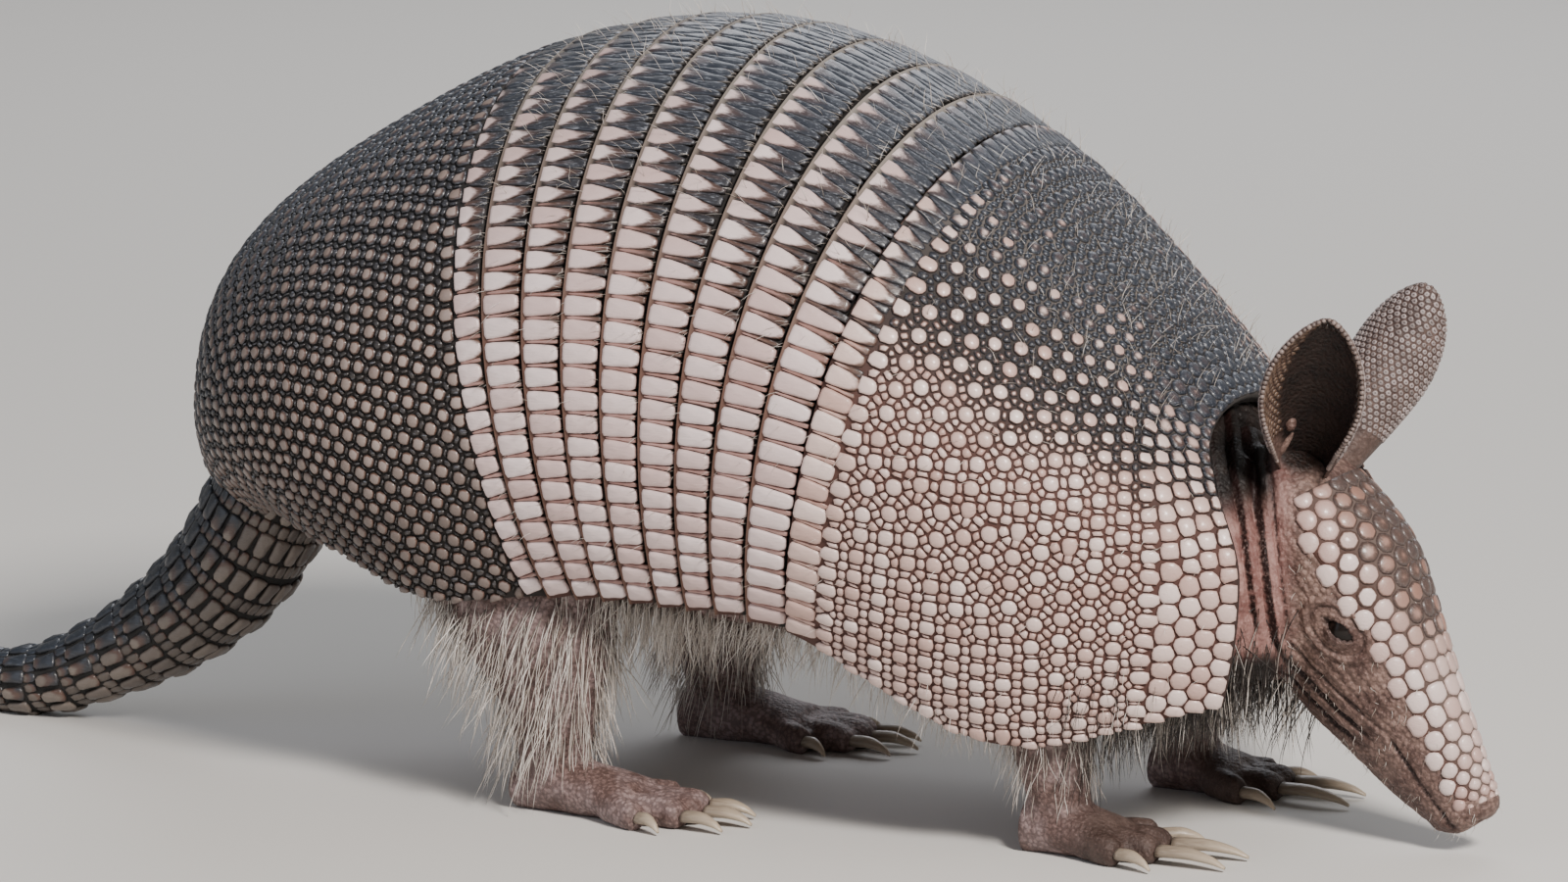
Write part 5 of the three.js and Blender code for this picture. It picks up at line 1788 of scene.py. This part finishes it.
def skin_place(points):
    """Each root's place on an unwrap of the skin: one strip round the body, one round each leg."""
    x, y, z = points.T
    round_body = np.arctan2(y, z - BODY_MIDDLE_Z) / (2 * math.pi) + 0.5
    rear = x < 20
    number = 2 * rear + (y > 0)
    round_leg = np.arctan2(np.abs(y) - 48, x - np.where(rear, -47, 97)) / (2 * math.pi) + 0.5
    on_leg = (z < LEG_TOP_Z) & (np.abs(y) > 28) & (x < 125)
    u = np.where(on_leg, (number + 0.04 + 0.92 * round_leg) / 4, 0.02 + 0.96 * (x + 210) / 420)
    v = np.where(on_leg, 0.52 + 0.46 * z / LEG_TOP_Z, 0.01 + 0.47 * round_body)
    return u, v


def hairs(points, normals, way, lengths, stray, lift, seed, dark=0.0):
    """Strands from roots, lying along a way and lifted off the skin, for the tree to set."""
    chance = np.random.default_rng(seed)
    count = len(points)
    ahead = unit(np.asarray(way, float) + normals * lift + chance.normal(size=(count, 3)) * stray)
    rise = np.clip((ahead * normals).sum(-1), None, LEAST_RISE)
    ahead = unit(ahead + normals * (LEAST_RISE - rise)[:, None])
    above = unit(np.cross(ahead, np.cross(np.array([0, 0, 1.0]) + 1e-3, ahead)))
    turns = turns_of(ahead, np.cross(above, ahead), above)
    size = chance.uniform(*lengths, count) / STRAND_LENGTH
    sizes = np.stack([size, np.ones(count), np.clip(size, 0.6, 1.6)], -1)
    u, v = skin_place(points)
    carrier = carrier_mesh(points - normals * ROOT_DEPTH, turns, sizes,
                           chance.integers(0, len(STRAND_BENDS), count), tone=chance.random(count),
                           dark=np.clip(dark * chance.random(count), 0, 1), map_s=u, map_angle=v,
                           map_layer=-1.0, per_x=HAIR_PATCH / STRAND_LENGTH, per_y=HAIR_PATCH)
    return grown(SCUTE_ROWS, carrier, Shapes=STRANDS, Material=HAIR_MATERIAL, Unevenness=0.1, Seed=seed)


HAIR_MATERIAL = hair_material()

# %% Hair of the legs, the belly and the throat
edge_s = np.linspace(0.4, 8, 80)
edge_line = carapace(edge_s, shell_edge(edge_s))


def below_shell(points):
    """How far each point is below the shell's edge: hair from above it would pierce a plate."""
    return np.interp(points[:, 0], edge_line[:, 0], edge_line[:, 2]) - points[:, 2]


def on_hind_leg(points, normals):
    x, y, z = points.T
    return (x < 0) * (x > -86) * ramp(12, 22, z) * (below_shell(points) > 0) * (np.abs(y) > 30)


def under_edge(points, normals):
    x, y, _ = points.T
    depth = below_shell(points)
    return (x > -80) * (x < 108) * (depth > -4) * (depth < 3) * (np.abs(y) > 30) * (normals[:, 2] < 0.1)


def on_fore_leg(points, normals):
    x, y, z = points.T
    return (x > 70) * (x < 125) * ramp(14, 22, z) * (1 - ramp(50, 60, z)) * (np.abs(y) > 28)


def on_belly(points, normals):
    x, y, z = points.T
    return (x > -70) * (x < 110) * ramp(-0.45, -0.8, normals[:, 2]) * (z > 30) * (np.abs(y) < 62)


def on_throat(points, normals):
    x, _, z = points.T
    under_chin = ramp(104, 112, x) * (1 - ramp(144, 158, x))
    return under_chin * ramp(0.25, -0.3, normals[:, 2]) * (z > 22) * (z < 66)


def on_face(points, normals):
    cheek = regions(points)
    return cheek["face"] * (points[:, 2] < 84) * (cheek["ring"] > 1.3)


leg_hair = joined_mesh(
    "leg_hair",
    hairs(*sprouts(2700, on_hind_leg, 31), (-0.25, 0, -1), (11, 21), 0.22, 0.55, 31),
    hairs(*sprouts(900, under_edge, 35), (-0.15, 0, -1), (8, 15), 0.12, 0.02, 35),
    hairs(*sprouts(800, on_fore_leg, 32), (-0.15, 0, -1), (7, 13), 0.2, 0.5, 32))
# The throat's hair is made dark, partly its own colour and partly painted shade.
belly_hair = joined_mesh(
    "belly_hair",
    hairs(*sprouts(1300, on_belly, 33), (-0.5, 0, -0.6), (8, 17), 0.35, 0.35, 33),
    hairs(*sprouts(1700, on_throat, 34), (-0.35, 0, -1), (11, 21), 0.3, 0.35, 34, dark=2.8))
show(leg_hair, "leg_hair", HAIR_MATERIAL, "skin")
show(belly_hair, "belly_hair", HAIR_MATERIAL, "skin")

# %% Short hair along the bands and over the back
BAND_FRINGE = 150


def shell_sprouts(count, low, high, seed, share=0.97):
    chance = np.random.default_rng(seed)
    s = chance.uniform(low, high, count)
    angle = chance.uniform(-share, share, count) * shell_edge(s)
    point, _, _, normal = slopes(carapace, s, angle)
    return point + normal * 0.3, normal


rear_edges = SHOULDER_START - np.arange(1, BAND_COUNT + 1) * BAND_SPAN
fringes = [shell_sprouts(BAND_FRINGE, rear - 0.004, rear + 0.012, seed)
           for seed, rear in enumerate(rear_edges, 51)]
edge_points, edge_normals = (np.concatenate(part) for part in zip(*fringes))
shell_hair = joined_mesh(
    "shell_hair",
    hairs(edge_points, edge_normals, (-1, 0, -0.1), (2.2, 4.6), 0.3, 0.5, 41),
    hairs(*shell_sprouts(900, HIP_END, 7.9, 42), (-1, 0, 0), (2.5, 5.5), 0.35, 0.9, 42),
    hairs(*shell_sprouts(700, HIP_END, 7.9, 44, 0.45), (-0.5, 0, 0.4), (4, 8), 0.3, 1.0, 44),
    hairs(*sprouts(420, on_face, 43), (0.4, 0, -0.8), (1.6, 2.8), 0.25, 0.35, 43))
cleared(STRANDS)
show(shell_hair, "shell_hair", HAIR_MATERIAL, "skin")
# %% [markdown]
# ## Eyes and claws
# The eyes are small and dark, with a soft glint. The claws are long, curved and blunt from
# digging, brown at the root and pale towards the tip.

# %% Eyes
CLOUD_SIZE = 1.2


def eye_material():
    """Nearly black, with the soft glint of a thin film of tears."""
    made, tree, shader = new_material("wet_dark_eye", IOR=1.34, Roughness=0.28, Coat_Weight=0.15,
                                      Coat_Roughness=0.04)
    place = node(tree, PLACE, out="Object")
    cloud = node(tree, NOISE, place, named={"Scale": 1 / (CLOUD_SIZE * MM)})
    colour = node(tree, MIX, cloud, named={6: "#080605", 7: "#1a120e"}, **COLOURS)
    tree.links.new(colour, shader.inputs["Base Color"])
    return made


EYE_MATERIAL = eye_material()
for side, word in SIDES.items():
    eye = Sheet()
    eye.add(*lofted(ball_rings(EYE_CENTRE * (1, side, 1), EYE_RADIUS, 24, 36)))
    show(eye.mesh(f"eye_ball_{word}"), f"eye_ball_{word}", EYE_MATERIAL, "eye", f"eye_{word}")

# %% Claws
# Along a claw: share of its length, half width as a share of its digit's, height and half height.
CLAW_SHARES = ((0, 0.6, 3.4, 1.9), (0.45, 0.56, 3.6, 1.8), (0.8, 0.34, 2.6, 1.2), (1, 0.14, 1.2, 0.5))
CLAW_GRAIN = 0.6
DIGIT_GAP = 0.3


def claw_material():
    """Layered horn: brown at the root, pale and worn towards the tip, grained lengthwise."""
    made, tree, shader = new_material("worn_claw_horn", IOR=1.54, Coat_Weight=0.1)
    place = node(tree, PLACE, out="Object")
    lengthwise = node(tree, VECTORS, place, (0.15, 1, 1), **TIMES)
    grain = node(tree, NOISE, lengthwise, named={"Scale": 1 / (CLAW_GRAIN * MM), "Detail": 3})
    tip = node(tree, MARK, attribute_name="tip", out="Fac")
    colour = node(tree, MIX, tip, named={6: "#54443a", 7: "#ab9a85"}, **COLOURS)
    pale = node(tree, MATH, grain, 0.6, **TIMES)
    colour = node(tree, MIX, pale, named={6: colour, 7: "#c3b5a1"}, **COLOURS)
    tree.links.new(colour, shader.inputs["Base Color"])
    rough = node(tree, MATH, grain, 0.25, 0.3, **TIMES_PLUS)
    tree.links.new(rough, shader.inputs["Roughness"])
    bump = node(tree, BUMP, named={"Height": grain, "Distance": 0.2 * MM, "Strength": 0.5})
    tree.links.new(bump, shader.inputs["Normal"])
    return made


def claw_body(root, turn, length, wide, claw, side, around=18):
    """A claw: rounded above, flatter underneath, curving down to its blunt tip."""
    start, way = digit_start(root, turn, side)
    across = np.array([-way[1], way[0], 0])
    rows = refined(np.array(CLAW_SHARES), 18)
    centres = start + way * (length + DIGIT_GAP + rows[:, :1] * claw)
    centres[:, 2] = rows[:, 2]
    angle = full_turn(around)
    top = np.where(np.sin(angle) > 0, np.sin(angle), np.sin(angle) * 0.75)
    ridge = np.cos(angle) * (1 - 0.25 * np.clip(np.sin(angle), 0, 1) ** 2)
    rings = centres[:, None] + across * (rows[:, 1] * wide)[:, None, None] * ridge[:, None]
    rings = rings + np.array([0, 0, 1]) * rows[:, 3][:, None, None] * top[:, None]
    sheet = Sheet()
    sheet.add(*lofted(rings), tip=np.append(np.repeat(rows[:, 0], around), (0, 1)))
    return sheet


CLAW_MATERIAL = claw_material()
for end, (_, _, root, digits) in LIMBS.items():
    for number, (turn, length, wide, claw) in enumerate(digits, 1):
        for side, word in SIDES.items():
            name = f"{end}_claw_horn_{number}_{word}"
            body = claw_body(root, turn, length, wide, claw, side)
            show(body.mesh(name), name, CLAW_MATERIAL, "claw", f"{end}_claw_{number}_{word}")

# %% [markdown]
# ## The stage
# A plain pale floor, soft light from the animal's front and right, and the camera.

# %% Floor, light and camera
FLOOR_HALF = 4.0
# The lights point at the middle of the body.
LIT_POINT = Vector((0, 0, 0.08))


def stage():
    floor_mesh = bpy.data.meshes.new("floor")
    corners = [(x * FLOOR_HALF, y * FLOOR_HALF, 0) for x, y in ((-1, -1), (1, -1), (1, 1), (-1, 1))]
    floor_mesh.from_pydata(corners, [], [(0, 1, 2, 3)])
    floor = bpy.data.objects.new("floor", floor_mesh)
    bpy.context.collection.objects.link(floor)
    material, _, shader = new_material("pale_floor", Roughness=0.9)
    shader.inputs["Base Color"].default_value = linear("#d9d7d3")
    floor_mesh.materials.append(material)


def soft_light(name, place, size, power, colour):
    lamp = bpy.data.lights.new(name, "AREA")
    lamp.size, lamp.energy, lamp.color = size, power, linear(colour)[:3]
    light = bpy.data.objects.new(name, lamp)
    light.location = place
    light.rotation_euler = (LIT_POINT - Vector(place)).to_track_quat("-Z", "Y").to_euler()
    bpy.context.collection.objects.link(light)


stage()
soft_light("key", (1.55, -1.15, 1.45), 0.45, 75, "#fff8f2")
soft_light("fill", (-1.0, -2.0, 1.0), 1.8, 9, "#dde8ff")
soft_light("rim", (-0.3, 1.6, 1.3), 1.2, 14, "#f4f7ff")
world = bpy.data.worlds.new("studio")
world.use_nodes = True
sky = world.node_tree.nodes["Background"].inputs
sky["Color"].default_value, sky["Strength"].default_value = linear("#eceae6"), 0.33
bpy.context.scene.world = world

CAMERA_TARGET = Vector((BODY_CENTRE_X * MM, 0, 0.0933))
CAMERA_WAY = Vector((0.4162, -0.8925, 0.1736)).normalized()
CAMERA_DISTANCE = 2.5
CAMERA_LENS = 216.6
lens = bpy.data.cameras.new("camera")
lens.lens, lens.sensor_width, lens.clip_end = CAMERA_LENS, 36, 30
camera = bpy.data.objects.new("camera", lens)
camera.location = CAMERA_TARGET + CAMERA_WAY * CAMERA_DISTANCE
camera.rotation_euler = (-CAMERA_WAY).to_track_quat("-Z", "Y").to_euler()
bpy.context.collection.objects.link(camera)
bpy.context.scene.camera = camera

# %% The end
import json

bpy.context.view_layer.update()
